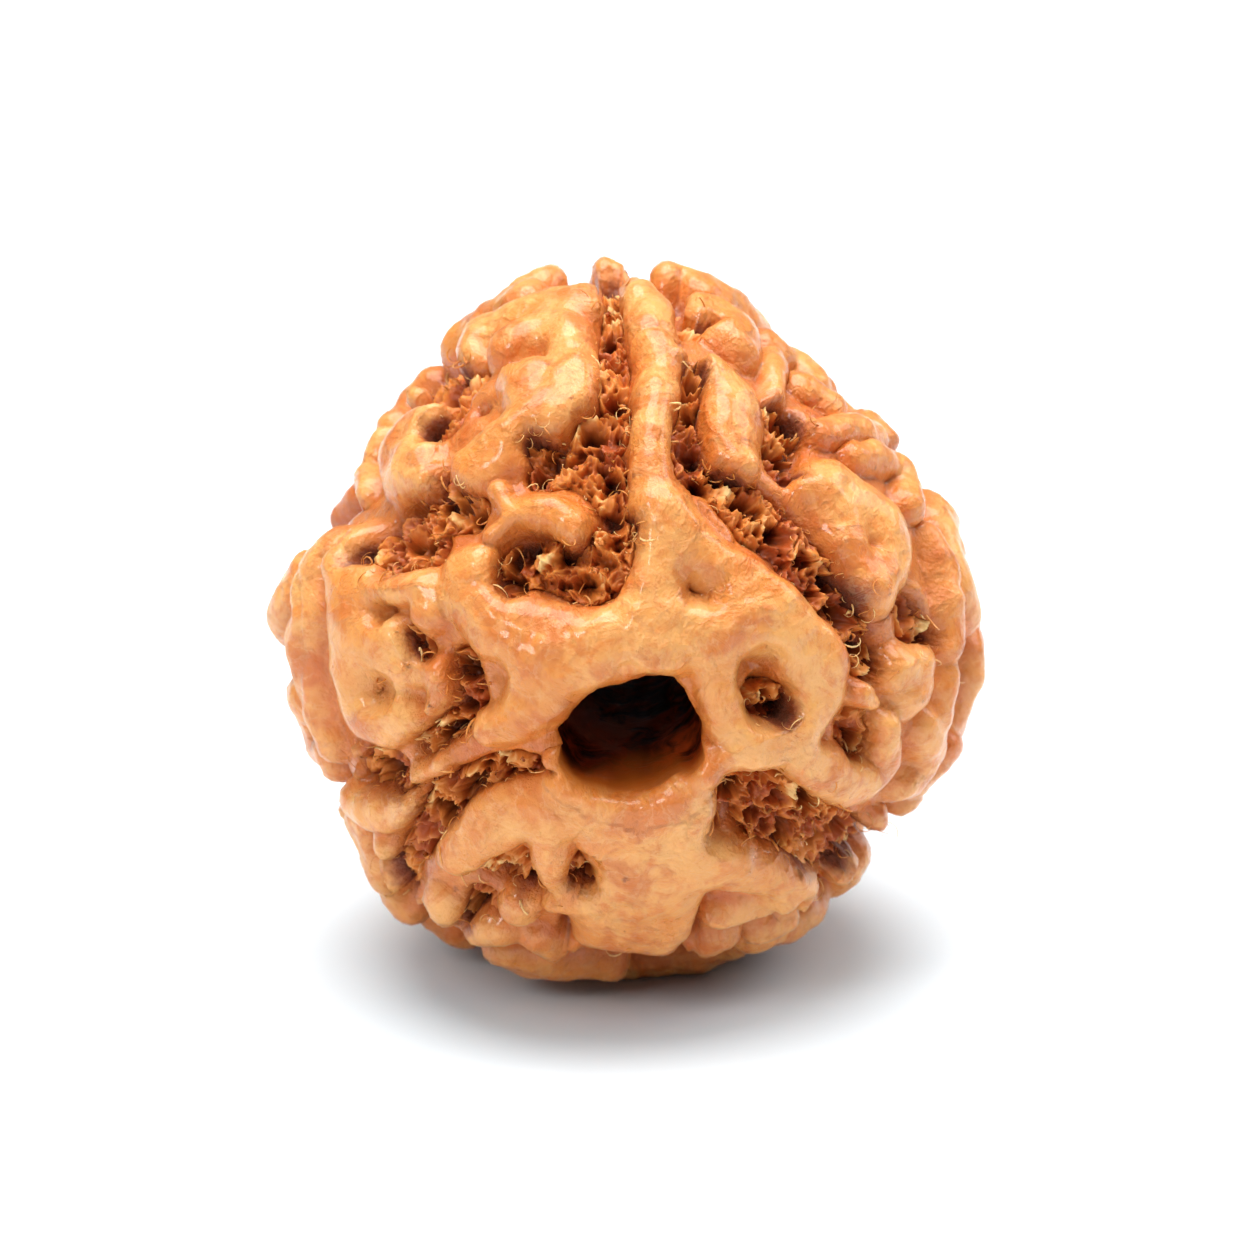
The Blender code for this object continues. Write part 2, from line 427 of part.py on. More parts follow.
def lattice_hash(cell, seed):
    h = cell[..., 0] * 73856093 ^ cell[..., 1] * 19349663 ^ cell[..., 2] * 83492791 ^ seed * 9176
    h = (h ^ (h >> 13)) * 1274126177 & 0x7FFFFFFF
    return h ^ (h >> 11)


def soft_noise(points, seed):
    # Gradient noise, about -1 to 1, one lump for each unit
    angles = np.arange(64) * 2.399963
    heights = 1 - (np.arange(64) + 0.5) / 32
    rings = np.sqrt(1 - heights ** 2)
    slopes = np.stack([rings * np.cos(angles), rings * np.sin(angles), heights], 1)
    cell = np.floor(points).astype(np.int64)
    part = points - cell
    fade = part ** 3 * (part * (part * 6 - 15) + 10)
    total = np.zeros(len(points))
    for corner in np.ndindex(2, 2, 2):
        slope = slopes[lattice_hash(cell + corner, seed) & 63]
        weight = np.prod(np.where(corner, fade, 1 - fade), axis=1)
        total += weight * ((part - corner) * slope).sum(1)
    return total * 1.5


def lumps(points):
    # Slow unevenness of the grown surface, in millimetres
    total, size = 0, 1.0
    for k in range(3):
        total = total + soft_noise(points / LUMP_SIZE / size, LUMP_SEED + k) * size
        size *= 0.5
    return total * LUMP_HEIGHT


def relative_distance(points, line, widths):
    # For the points near a stroke: which, and distance over half width
    line = line * MEAN_RADIUS
    middle = (line.min(0) + line.max(0)) / 2
    span = np.linalg.norm(line - middle, axis=1).max() + widths.max() * 2 + 1.0
    near = np.nonzero(((points - middle) ** 2).sum(1) < span * span)[0]
    p = points[near]
    share = np.full(len(near), 9.0)
    for a, b, wa, wb in zip(line[:-1], line[1:], widths[:-1], widths[1:]):
        ab = b - a
        t = np.clip((p - a) @ ab / max(ab @ ab, 1e-9), 0, 1)
        now = np.linalg.norm(p - a - t[:, None] * ab, axis=1) / (wa + t * (wb - wa))
        share = np.minimum(share, now)
    return near, share


def surface_radius(d, strokes):
    # Distance from the centre to the surface along unit directions d
    ridges, pits, creases = strokes
    points = d * MEAN_RADIUS
    field = np.zeros(len(d))
    for lift, line, widths in ridges:
        near, share = relative_distance(points, line, widths)
        field[near] += lift * np.exp(-RIDGE_FALL * share ** RIDGE_POWER)
    pit = np.zeros(len(d))
    for depth, line, widths in pits:
        near, share = relative_distance(points, line, widths)
        pit[near] = np.maximum(pit[near], depth * np.exp(-PIT_FALL * share ** PIT_POWER))
    crease = np.zeros(len(d))
    for depth, line, widths in creases:
        near, share = relative_distance(points, line, widths)
        crease[near] = np.maximum(crease[near], depth * np.exp(-share ** 2))
    front = np.clip((d @ view_axes()[2] - WEB_FROM) / WEB_REACH, 0, 1)
    web = WEB * front + (1 - front) * (WEB_FAR + WEB_SPREAD * soft_noise(points / LUMP_SIZE, WEB_SEED))
    field = np.power(field ** 3 + np.clip(web, 0, 1) ** 3, 1 / 3)
    field = field * (1 - pit) * (1 - crease * CREASE_SHARE)
    rise = np.interp(field, FIELD_STEPS, RISE_STEPS)
    deep = np.clip(1 - field / PITH_BELOW, 0, 1)
    radius = body_radius(d) - RIDGE_HEIGHT * (1 - rise) - GAP_DEPTH * deep
    for depth, x, y, size in FRONT_DIMPLES:
        away = np.linalg.norm(points - from_front(x, y, HOLLOW_SUNK) * MEAN_RADIUS, axis=1) / size
        bowl = np.clip(1 - away ** 2.2, 0, 1)
        radius -= depth * bowl * (1.6 - 0.6 * bowl)
    return radius + lumps(d * radius[:, None])


def softened_radius(d, strokes):
    # The same, averaged over a small ring, so that the mesh follows it without jagged edges
    side = unit_rows(np.cross(d, [0.31, 0.83, 0.46]))
    other = np.cross(d, side)
    total = 2 * surface_radius(d, strokes)
    for k in range(6):
        turn = k * math.pi / 3
        step = (math.cos(turn) * side + math.sin(turn) * other) * SOFTENING / MEAN_RADIUS
        total = total + surface_radius(unit_rows(d + step), strokes)
    return total / 8


def geodesic_ball():
    ball = bmesh.new()
    bmesh.ops.create_icosphere(ball, subdivisions=ICO_LEVEL, radius=1.0)
    bmesh.ops.subdivide_edges(ball, edges=ball.edges[:], cuts=EDGE_CUTS, use_grid_fill=True)
    bmesh.ops.triangulate(ball, faces=ball.faces[:])
    return ball


def shaped_points(ball, strokes):
    # The ball's points set on the ridged surface, drawn together where it is steep
    ends = np.array([[v.index for v in edge.verts] for edge in ball.edges])
    d = unit_rows(np.array([v.co for v in ball.verts]))
    shape = d * softened_radius(d, strokes)[:, None]
    for _ in range(EVENING_ROUNDS):
        span = shape[ends[:, 1]] - shape[ends[:, 0]]
        pull = span * np.linalg.norm(span, axis=1)[:, None]
        weight = np.zeros(len(d))
        total = np.zeros_like(shape)
        for side, sign in ((0, 1.0), (1, -1.0)):
            np.add.at(total, ends[:, side], sign * pull)
            np.add.at(weight, ends[:, side], np.linalg.norm(span, axis=1))
        d = unit_rows(shape + EVENING_SHARE * total / weight[:, None])
        shape = d * softened_radius(d, strokes)[:, None]
    return shape


def bore_ring(scale, y):
    # One ring of the bore: the outline as a smooth closed curve, spread evenly
    outline = np.array(BORE_OUTLINE)
    angles = np.arctan2(outline[:, 1], outline[:, 0])
    order = np.argsort(angles)
    turn = np.linspace(-math.pi, math.pi, BORE_SIDES, endpoint=False)
    r = np.interp(turn, angles[order], np.hypot(outline[order, 0], outline[order, 1]), period=2 * math.pi)
    r = (np.roll(r, 1) + 2 * r + np.roll(r, -1)) / 4 * scale
    return [(BORE_CENTRE[0] + rr * math.cos(a), y, BORE_CENTRE[1] + rr * math.sin(a))
            for rr, a in zip(r, turn)]


def bore_cutter():
    cutter = bmesh.new()
    start, end = -FRONT_LENGTH - BORE_OVERRUN, BACK_LENGTH + BORE_OVERRUN
    rings = []
    for k in range(BORE_RINGS):
        share = k / (BORE_RINGS - 1)
        y = start + share * (end - start)
        inward = math.sin(math.pi * share) ** BORE_TAPER
        scale = BORE_MOUTH - (BORE_MOUTH - BORE_WAIST) * inward
        rings.append([cutter.verts.new(v) for v in bore_ring(scale, y)])
    for near, far in zip(rings, rings[1:]):
        for i in range(BORE_SIDES):
            j = (i + 1) % BORE_SIDES
            cutter.faces.new((near[i], near[j], far[j], far[i]))
    cutter.faces.new(rings[0][::-1])
    cutter.faces.new(rings[-1])
    bmesh.ops.recalc_face_normals(cutter, faces=cutter.faces[:])
    return cutter


def new_object(name, mesh_builder):
    mesh = bpy.data.meshes.new(name)
    mesh_builder.to_mesh(mesh)
    mesh_builder.free()
    obj = bpy.data.objects.new(name, mesh)
    bpy.context.scene.collection.objects.link(obj)
    return obj


def bead_material():
    material = bpy.data.materials.new("rudraksha_stone")
    material.use_nodes = True
    shader = material.node_tree.nodes["Principled BSDF"]
    shader.inputs["Base Color"].default_value = (0.62, 0.33, 0.13, 1.0)
    shader.inputs["Roughness"].default_value = 0.42
    shader.inputs["Metallic"].default_value = 0.0
    return material


def settle(bead, rest):
    # Origin under the middle of the bead, on its flat spot; lengths become metres
    places = np.array([v.co for v in bead.data.vertices])
    low, high = places.min(0), places.max(0)
    bead.data.transform(Matrix.Translation((-(low[0] + high[0]) / 2, -(low[1] + high[1]) / 2, -rest)))
    bead.data.transform(Matrix.Scale(MM, 4))


def make_bead():
    ball = geodesic_ball()
    ball.verts.ensure_lookup_table()
    ball.verts.index_update()
    shape = shaped_points(ball, all_strokes())
    rest = shape[:, 2].min() + REST_CUT
    shape[:, 2] = np.maximum(shape[:, 2], rest)
    for vertex, place in zip(ball.verts, shape):
        vertex.co = place
    bead = new_object("bead", ball)
    cutter = new_object("bore_cutter", bore_cutter())
    bore = bead.modifiers.new("bore", "BOOLEAN")
    bore.operation = "DIFFERENCE"
    bore.object = cutter
    graph = bpy.context.evaluated_depsgraph_get()
    bead.data = bpy.data.meshes.new_from_object(bead.evaluated_get(graph))
    bead.modifiers.clear()
    bpy.data.objects.remove(cutter)
    settle(bead, rest)
    bead.data.materials.clear()
    bead.data.materials.append(bead_material())
    bead.data.shade_smooth()
    return bead


for leftover in list(bpy.data.objects):
    bpy.data.objects.remove(leftover)
make_bead()
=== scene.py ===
# Three mukhi rudraksha bead, dressed for a photograph: the ridged stone with its bore,
# the torn fibre left in its hollows, a white table and soft studio light.
# Tables are in millimetres about the middle of the bead; meshes are in metres.
import math
import random

import bpy
import numpy as np
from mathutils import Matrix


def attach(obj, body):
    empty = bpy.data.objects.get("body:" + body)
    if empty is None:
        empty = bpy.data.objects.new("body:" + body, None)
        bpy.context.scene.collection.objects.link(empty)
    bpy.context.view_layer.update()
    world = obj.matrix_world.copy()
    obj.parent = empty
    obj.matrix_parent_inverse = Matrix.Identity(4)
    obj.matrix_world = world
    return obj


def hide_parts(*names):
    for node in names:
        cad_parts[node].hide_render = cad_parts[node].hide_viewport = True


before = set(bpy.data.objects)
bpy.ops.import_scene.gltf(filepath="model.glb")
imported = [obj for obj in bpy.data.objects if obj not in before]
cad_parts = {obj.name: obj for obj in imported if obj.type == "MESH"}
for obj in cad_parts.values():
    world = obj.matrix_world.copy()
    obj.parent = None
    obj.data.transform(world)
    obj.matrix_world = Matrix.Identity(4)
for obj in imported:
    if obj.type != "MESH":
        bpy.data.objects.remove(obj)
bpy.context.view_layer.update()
mm = 0.001

shot = {
    "tilt": 20.0,            # degrees above the table
    "distance": 300.0,       # mm from the middle of the bead
    "framed": 39.19,         # mm across the picture at that distance
    "sensor": 36.0,
    "aimRight": -0.03,       # where the picture's middle falls, from the bead's middle
    "aimUp": -0.16,
    "sharpNearer": 8.5,      # mm from the middle of the bead to where the picture is sharpest
    "stop": 110.0,
}

body = {
    "middle": (0.04, -0.49, 10.94),   # of the bead, from the footprint's centre
    "radius": 11.0,
    # how far the outline swells in the front view: degrees round it, mm
    "outline": ((0, 0.30), (20, -0.20), (33, -0.55), (50, -1.10), (60, -1.10), (70, -0.05), (85, 0.25),
                (102, 0.65), (120, -0.45), (135, -0.75), (157, -1.60), (170, 0.40), (185, 0.30),
                (206, -0.30), (218, 0.20), (232, 1.00), (250, 0.65), (265, 0.45), (290, 0.35),
                (312, 0.20), (322, -0.70), (335, 0.35), (345, 0.40)),
    "outlineBlend": 9.0,     # degrees over which the outline's swelling is evened out
    "frontLength": 10.85,
    "backLength": 12.15,
    "frontFrom": 0.05,       # share of facing the viewer where the drawn pits take over
    "frontReach": 0.15,
    "ridgeHeight": 1.65,
    "ridgeFall": (0.97, 2.6),   # how a ridge and a pit fade to the side: rate and power
    "pitFall": (0.60, 3.2),
    "creaseCut": 0.5,        # how much of a ridge the deepest crease takes
    "gapDepth": 0.35,        # pith floor below the foot of the ridges
    "ridgeSunk": 0.25,       # mm under the crests where the drawn ridges, hollows and pits are seen
    "hollowSunk": 0.60,
    "pitSunk": 1.00,
    "web": 0.42,             # what joins the ridges on the front, and on the far sides
    "webFar": 0.12,
    "webFrom": 0.16,         # share of facing the viewer where the front's web begins
    "webReach": 0.12,        # and over which it grows
    "webSpread": 0.30,       # how much the far web comes and goes
    "webPatch": 2.6,         # mm from one patch of it to the next
    "fieldSteps": (0.0, 0.12, 0.24, 0.36, 0.50, 0.66, 0.84, 1.05, 1.50, 3.0),
    "riseSteps": (0.0, 0.03, 0.15, 0.36, 0.60, 0.78, 0.90, 0.97, 1.03, 1.06),
    "overhang": 0.14,        # how far the shoulders of the ridges lean out
    "shoulder": (0.62, 0.30),   # how far up a ridge they are, and how far round that they reach
    # uneven growth: mm from lump to lump, mm up and down, seed
    "lumps": ((2.6, 0.22, 3), (1.0, 0.08, 7), (0.42, 0.018, 12)),
}

bore = {
    "outline": [(-2.48, 0.05), (-2.40, -0.45), (-2.15, -1.00), (-1.74, -1.46), (-1.15, -1.76), (-0.35, -1.92),
                (0.25, -1.94), (0.95, -1.80), (1.60, -1.42), (2.20, -0.80), (2.36, -0.15), (1.88, 0.93),
                (1.36, 1.80), (0.75, 1.76), (-0.12, 1.62), (-1.20, 1.36), (-1.90, 0.88)],
    "centre": (0.10, 0.12),
    "waist": 0.88,           # share of the mouth's width in the middle
    "lip": 0.36,             # rounding of the rim
    "rimDepth": 0.4,         # from the body's ends in to the rims
    "meanReach": 2.1,        # from the middle of a mouth to its rim
    "wallRows": 44,
    "wallRough": 0.10,
    "keepClear": 2.6,        # mm round each mouth where no ridge is grown
}

skinMesh = {"around": 372, "finest": 0.07, "coarsest": 0.155, "coarseFrom": 1.2}

# Ridges seen from the front: crest lift, then (x, y, half width) along each one
frontRidges = [
    # Crown seam and the collar round the mouth
    (0.92, [(0.25, 10.62, 0.50), (0.35, 10.30, 0.50)]),
    (0.98, [(0.75, 10.20, 0.70), (0.80, 9.50, 0.72), (0.80, 8.95, 0.62)]),
    (1.05, [(1.10, 8.55, 0.60), (1.05, 7.90, 0.62), (0.92, 7.00, 0.58), (0.78, 6.00, 0.60),
            (0.72, 5.00, 0.60), (0.85, 4.00, 0.68), (1.15, 3.10, 0.85)]),
    (1.02, [(1.15, 3.10, 0.85), (0.85, 1.90, 0.80), (0.80, 0.70, 0.90), (1.10, -0.50, 0.95)]),
    (1.00, [(1.80, 2.55, 0.80), (2.90, 1.75, 0.80), (4.00, 0.80, 1.00), (4.90, 0.05, 1.10),
            (5.75, -0.90, 1.10), (6.15, -1.85, 1.08), (5.95, -2.65, 0.98), (5.00, -3.50, 0.85)]),
    (0.98, [(1.10, -0.50, 0.95), (2.50, -0.20, 0.80), (3.80, -0.10, 0.80), (4.80, -0.10, 0.90)]),
    (1.00, [(2.30, -0.30, 0.70), (2.70, -1.30, 0.62), (2.90, -2.30, 0.55), (3.30, -3.30, 0.68),
            (4.20, -3.85, 0.72), (5.10, -3.60, 0.80)]),
    (1.02, [(1.10, -0.60, 1.00), (-0.30, -0.60, 1.10), (-1.70, -0.70, 1.15), (-3.00, -0.60, 1.05),
            (-4.20, -0.05, 1.02), (-4.95, 0.70, 1.00), (-5.10, 1.50, 0.92), (-4.75, 1.90, 0.55)]),
    (0.97, [(-1.30, -1.20, 0.90), (-2.60, -1.70, 0.85), (-3.05, -2.60, 0.82), (-3.80, -3.25, 0.66),
            (-4.45, -3.45, 0.55)]),
    (0.96, [(-2.35, -4.75, 0.45), (-1.50, -5.55, 0.55), (0.10, -5.95, 0.60), (1.60, -5.70, 0.60),
            (2.40, -4.95, 0.50)]),
    (0.98, [(2.30, -4.60, 0.45), (3.60, -4.20, 0.42), (5.10, -4.15, 0.70), (6.20, -4.80, 0.80),
            (7.20, -5.20, 0.84), (8.00, -4.90, 0.76), (8.25, -4.10, 0.60), (8.20, -3.30, 0.45)]),
    # Upper left: the long bent brow and what lies round it
    (1.00, [(-1.60, 10.30, 0.85), (-2.60, 10.15, 0.90), (-3.60, 9.75, 0.85), (-4.40, 9.30, 0.70)]),
    (1.05, [(-3.75, 8.85, 0.68), (-2.95, 9.32, 0.68), (-1.95, 9.36, 0.68), (-1.60, 8.50, 0.68),
            (-1.60, 7.60, 0.72), (-2.20, 6.85, 0.82), (-3.20, 6.20, 0.90), (-4.20, 5.55, 0.92),
            (-5.15, 4.85, 0.92)]),
    (0.90, [(-3.30, 8.00, 0.90), (-2.90, 7.40, 1.00)]),
    (0.96, [(-4.80, 9.00, 0.70), (-5.15, 8.40, 0.66)]),
    (0.85, [(-6.75, 7.30, 0.50), (-6.60, 7.45, 0.45)]),
    (1.04, [(-6.20, 6.50, 0.62), (-7.00, 6.20, 0.88), (-7.50, 5.50, 0.95), (-7.15, 4.85, 0.88),
            (-6.55, 4.60, 0.70)]),
    (0.70, [(-6.70, 5.60, 0.70), (-6.50, 5.40, 0.60)]),
    (0.92, [(-8.00, 5.90, 0.55), (-8.20, 5.00, 0.60), (-8.35, 4.20, 0.50)]),
    (0.90, [(-3.20, 3.60, 0.55), (-2.55, 3.55, 0.66), (-1.90, 3.15, 0.52), (-1.70, 2.70, 0.36)]),
    (0.55, [(-4.15, 4.15, 0.38), (-3.85, 3.40, 0.36), (-4.45, 2.80, 0.30)]),
    # Left cheek
    (0.98, [(-9.35, 2.50, 0.55), (-9.95, 1.95, 0.68), (-10.25, 1.20, 0.72), (-10.25, 0.30, 0.66),
            (-10.40, -0.80, 0.74), (-10.20, -2.00, 0.72), (-9.90, -3.00, 0.68), (-9.50, -3.90, 0.58)]),
    (1.00, [(-8.70, 2.70, 0.60), (-9.00, 1.90, 0.85), (-9.00, 1.00, 0.90), (-8.95, 0.00, 0.90),
            (-8.90, -1.20, 0.95), (-8.80, -2.30, 0.90), (-8.20, -3.15, 0.80), (-7.20, -3.20, 0.72)]),
    (0.92, [(-8.20, 1.20, 0.70), (-7.30, 1.25, 0.62), (-6.60, 0.95, 0.62), (-6.45, 0.20, 0.60)]),
    (1.00, [(-8.20, -0.65, 0.80), (-7.30, -0.75, 0.78), (-6.90, -1.50, 0.55)]),
    (0.80, [(-7.60, -2.00, 0.80), (-7.50, -2.40, 0.70)]),
    (0.88, [(-6.10, -1.55, 0.44), (-6.10, -2.20, 0.48), (-6.30, -2.75, 0.30)]),
    # Lower left
    (0.66, [(-8.70, -4.25, 0.32), (-8.75, -4.90, 0.30)]),
    (0.96, [(-8.60, -5.85, 0.66), (-7.75, -6.10, 0.62), (-7.05, -5.85, 0.58)]),
    (0.60, [(-6.85, -4.95, 0.36), (-6.10, -4.60, 0.36)]),
    (0.95, [(-7.75, -7.25, 0.55), (-7.55, -8.05, 0.62), (-7.00, -8.80, 0.60)]),
    (0.98, [(-5.95, -8.95, 0.62), (-5.50, -9.50, 0.70), (-4.80, -9.85, 0.66), (-4.10, -9.95, 0.58)]),
    (1.03, [(-1.90, -5.90, 0.85), (-3.40, -6.00, 0.92), (-4.60, -6.60, 0.92), (-5.40, -7.40, 0.90)]),
    (0.92, [(-3.35, -8.65, 0.52), (-3.50, -9.20, 0.62)]),
    (0.86, [(-2.50, -6.60, 0.60), (-2.35, -7.70, 0.48), (-2.15, -8.80, 0.66)]),
    # Chin and the lower right
    (1.04, [(-0.60, -6.60, 1.05), (-0.40, -7.80, 1.10), (-0.60, -9.00, 1.15), (-0.80, -10.00, 0.95)]),
    (1.02, [(1.20, -6.70, 1.05), (1.40, -7.90, 1.10), (1.20, -9.10, 1.10), (0.80, -10.10, 0.95)]),
    (0.99, [(2.70, -7.90, 0.75), (3.70, -8.10, 0.84), (4.70, -8.20, 0.80), (5.10, -8.60, 0.55)]),
    (0.92, [(2.90, -9.35, 0.52), (3.90, -9.25, 0.55), (4.90, -9.00, 0.50)]),
    (0.92, [(2.40, -5.90, 0.42), (2.00, -6.60, 0.40), (2.60, -7.40, 0.40), (3.60, -7.50, 0.40)]),
    (0.94, [(-2.90, -10.20, 0.55), (-2.30, -10.50, 0.60)]),
    (0.90, [(2.30, -10.50, 0.50), (3.10, -10.20, 0.50)]),
    (0.90, [(4.20, -9.95, 0.45), (5.10, -9.50, 0.45)]),
    (0.92, [(5.60, -7.95, 0.34), (5.80, -8.60, 0.44), (5.60, -9.00, 0.40)]),
    (1.05, [(7.10, -7.45, 0.62), (7.00, -8.00, 0.70)]),
    (1.00, [(7.85, -6.45, 0.52), (7.80, -6.90, 0.54)]),
    # Right side
    (1.03, [(9.50, -3.50, 0.62), (9.75, -4.15, 0.70), (9.25, -4.90, 0.72), (8.80, -5.20, 0.55)]),
    (1.03, [(8.65, -1.55, 0.72), (9.25, -1.75, 0.90), (9.00, -2.35, 0.82)]),
    (0.94, [(10.20, -2.00, 0.60), (10.10, -2.80, 0.55)]),
    (0.78, [(7.50, -2.30, 0.40), (7.70, -2.65, 0.38)]),
    (1.00, [(9.80, 2.60, 0.62), (10.10, 1.60, 0.72), (10.25, 0.50, 0.72), (10.25, -0.60, 0.70)]),
    (0.62, [(9.30, 1.00, 0.34), (9.70, 0.20, 0.34), (9.55, -0.70, 0.34)]),
    # Upper right: pendant ridge, shoulder, and the lobes behind them
    (1.00, [(2.35, 10.00, 0.72), (2.90, 9.80, 0.80), (3.50, 9.30, 0.85), (3.65, 8.70, 0.70)]),
    (0.92, [(2.55, 9.50, 0.60), (3.00, 9.20, 0.60)]),
    (0.80, [(1.85, 8.35, 0.36), (2.50, 8.05, 0.46)]),
    (1.04, [(3.00, 7.80, 0.85), (3.45, 7.30, 0.98), (3.30, 6.60, 0.98), (3.25, 5.90, 0.94),
            (3.40, 5.20, 0.84), (3.50, 4.60, 0.66)]),
    (0.92, [(4.68, 8.40, 0.42), (4.66, 7.60, 0.42), (4.80, 6.80, 0.38)]),
    (0.98, [(5.60, 7.50, 0.66), (6.35, 7.00, 0.62)]),
    (0.95, [(5.45, 6.60, 0.52), (5.50, 6.45, 0.50)]),
    (0.96, [(6.10, 6.05, 0.45), (7.00, 6.10, 0.55), (7.80, 5.90, 0.50)]),
    (0.96, [(7.30, 5.30, 0.48), (8.20, 5.15, 0.55), (8.80, 4.70, 0.60), (9.00, 3.80, 0.55)]),
    (1.08, [(5.75, 4.55, 0.55), (6.80, 4.30, 0.90), (7.70, 3.60, 0.98), (8.30, 2.80, 0.96),
            (8.45, 2.00, 0.90), (8.00, 1.20, 0.80), (7.60, 0.70, 0.60)]),
    (0.86, [(6.75, 3.30, 0.80), (7.10, 2.30, 0.80), (7.30, 1.40, 0.70)]),
]

# Hollows pressed into the skin: depth, x, y, radius
frontDimples = [
    (0.35, 2.35, 0.95, 0.80), (0.38, 4.10, -1.30, 0.85), (0.45, 4.25, -2.50, 1.00),
    (0.40, -3.60, -7.70, 1.10), (0.35, -2.80, -8.30, 0.70), (0.50, -1.40, -7.55, 0.75),
    (0.50, -7.60, -2.10, 0.80), (0.60, -7.60, 0.25, 0.52), (0.70, -2.75, 2.25, 0.55),
    (1.10, 1.90, 5.10, 0.46), (1.00, -6.90, 3.45, 0.42), (1.00, -7.55, -4.65, 0.62),
    (0.90, -5.00, -1.55, 0.55), (0.70, -4.60, 6.75, 0.45), (0.25, -3.00, 8.20, 0.80),
    (0.90, 4.75, 5.00, 0.42), (0.90, 7.15, -1.05, 0.48), (0.50, 2.65, -6.55, 0.46),
    (0.50, -6.20, 5.70, 0.50), (0.80, 8.80, -0.10, 0.60), (0.90, 7.00, -3.60, 0.55),
]

# Fibrous pits and seams seen from the front: how complete, then (x, y, half width) along each one
frontPits = [
    # Beside the crown seam
    (1.00, [(-0.50, 10.60, 0.32), (-0.50, 9.50, 0.36), (-0.45, 8.50, 0.40), (-0.40, 7.50, 0.46),
            (-0.50, 6.50, 0.58), (-0.85, 5.80, 0.75)]),
    (0.85, [(-2.90, 5.35, 0.40), (-2.10, 5.05, 0.55), (-1.20, 5.00, 0.85), (-0.60, 4.20, 0.70),
            (-0.35, 3.30, 0.50)]),
    (0.90, [(-2.80, 4.50, 0.32), (-2.20, 4.60, 0.34)]),
    (1.00, [(1.95, 7.70, 0.26), (2.00, 6.80, 0.38), (1.85, 5.90, 0.40), (1.85, 5.05, 0.48),
            (2.15, 4.30, 0.36)]),
    (0.90, [(1.75, 9.05, 0.24), (2.10, 8.85, 0.26), (2.60, 8.75, 0.22)]),
    # Upper left
    (1.00, [(-6.40, 7.35, 0.40), (-5.50, 7.30, 0.60), (-4.70, 7.25, 0.55)]),
    (0.95, [(-5.05, 6.60, 0.36), (-5.50, 6.10, 0.38), (-5.95, 5.70, 0.36)]),
    (1.00, [(-8.10, 1.90, 0.36), (-7.40, 2.40, 0.60), (-6.60, 2.90, 0.85), (-5.60, 3.40, 0.72),
            (-4.80, 3.40, 0.50)]),
    (1.00, [(-6.90, 1.80, 0.62), (-6.10, 2.20, 0.62)]),
    (0.90, [(-5.50, 4.30, 0.42), (-5.70, 3.80, 0.50)]),
    # Centre
    (1.00, [(-3.55, 1.15, 0.52), (-3.00, 1.90, 0.72), (-2.20, 1.55, 0.76), (-1.30, 1.45, 0.82),
            (-0.55, 2.10, 0.72), (-0.10, 2.85, 0.52)]),
    (1.00, [(-5.00, -1.30, 0.44), (-4.85, -2.20, 0.48), (-5.05, -2.90, 0.40), (-5.60, -3.35, 0.38),
            (-6.20, -3.80, 0.40)]),
    (0.80, [(-6.50, -0.30, 0.24), (-6.20, -0.90, 0.22)]),
    (1.00, [(-7.90, -4.60, 0.54), (-7.35, -4.55, 0.66), (-6.85, -4.80, 0.48)]),
    # The fissure to the lower left
    (1.00, [(-2.30, -4.45, 0.20), (-3.50, -4.40, 0.32), (-4.60, -4.80, 0.44), (-5.40, -5.30, 0.55),
            (-6.00, -6.10, 0.50), (-6.50, -6.90, 0.44), (-6.90, -7.60, 0.40)]),
    (0.95, [(-7.15, -7.15, 0.45), (-6.65, -8.00, 0.34), (-6.40, -8.70, 0.28)]),
    (1.00, [(-4.35, -7.45, 0.40), (-3.55, -7.60, 0.58), (-2.80, -7.95, 0.44)]),
    (0.95, [(-1.60, -7.55, 0.40), (-1.20, -7.75, 0.42)]),
    (0.95, [(-4.90, -9.00, 0.38), (-4.40, -8.40, 0.32), (-3.95, -8.90, 0.24)]),
    # Lower right
    (1.00, [(3.35, -5.30, 0.70), (4.20, -5.65, 0.98), (5.20, -6.05, 0.98), (6.30, -6.50, 0.64),
            (7.25, -6.50, 0.50)]),
    (1.00, [(4.20, -6.50, 0.42), (5.50, -7.05, 0.46), (6.40, -7.30, 0.36)]),
    (1.00, [(3.95, -2.50, 0.50), (4.50, -2.58, 0.50)]),
    (1.00, [(6.90, -3.05, 0.38), (6.85, -3.85, 0.46)]),
    # The diagonal band and the right side
    (1.00, [(2.70, 4.20, 0.50), (4.00, 3.30, 0.74), (5.00, 2.40, 0.80), (5.90, 1.30, 0.72),
            (6.75, 0.10, 0.72), (7.25, -0.90, 0.60), (7.35, -1.45, 0.40)]),
    (1.00, [(4.20, 6.20, 0.36), (4.90, 6.00, 0.55), (4.70, 5.20, 0.55), (4.95, 4.60, 0.46)]),
    (1.00, [(8.15, 0.60, 0.38), (8.60, 0.15, 0.62), (9.10, -0.50, 0.46)]),
]

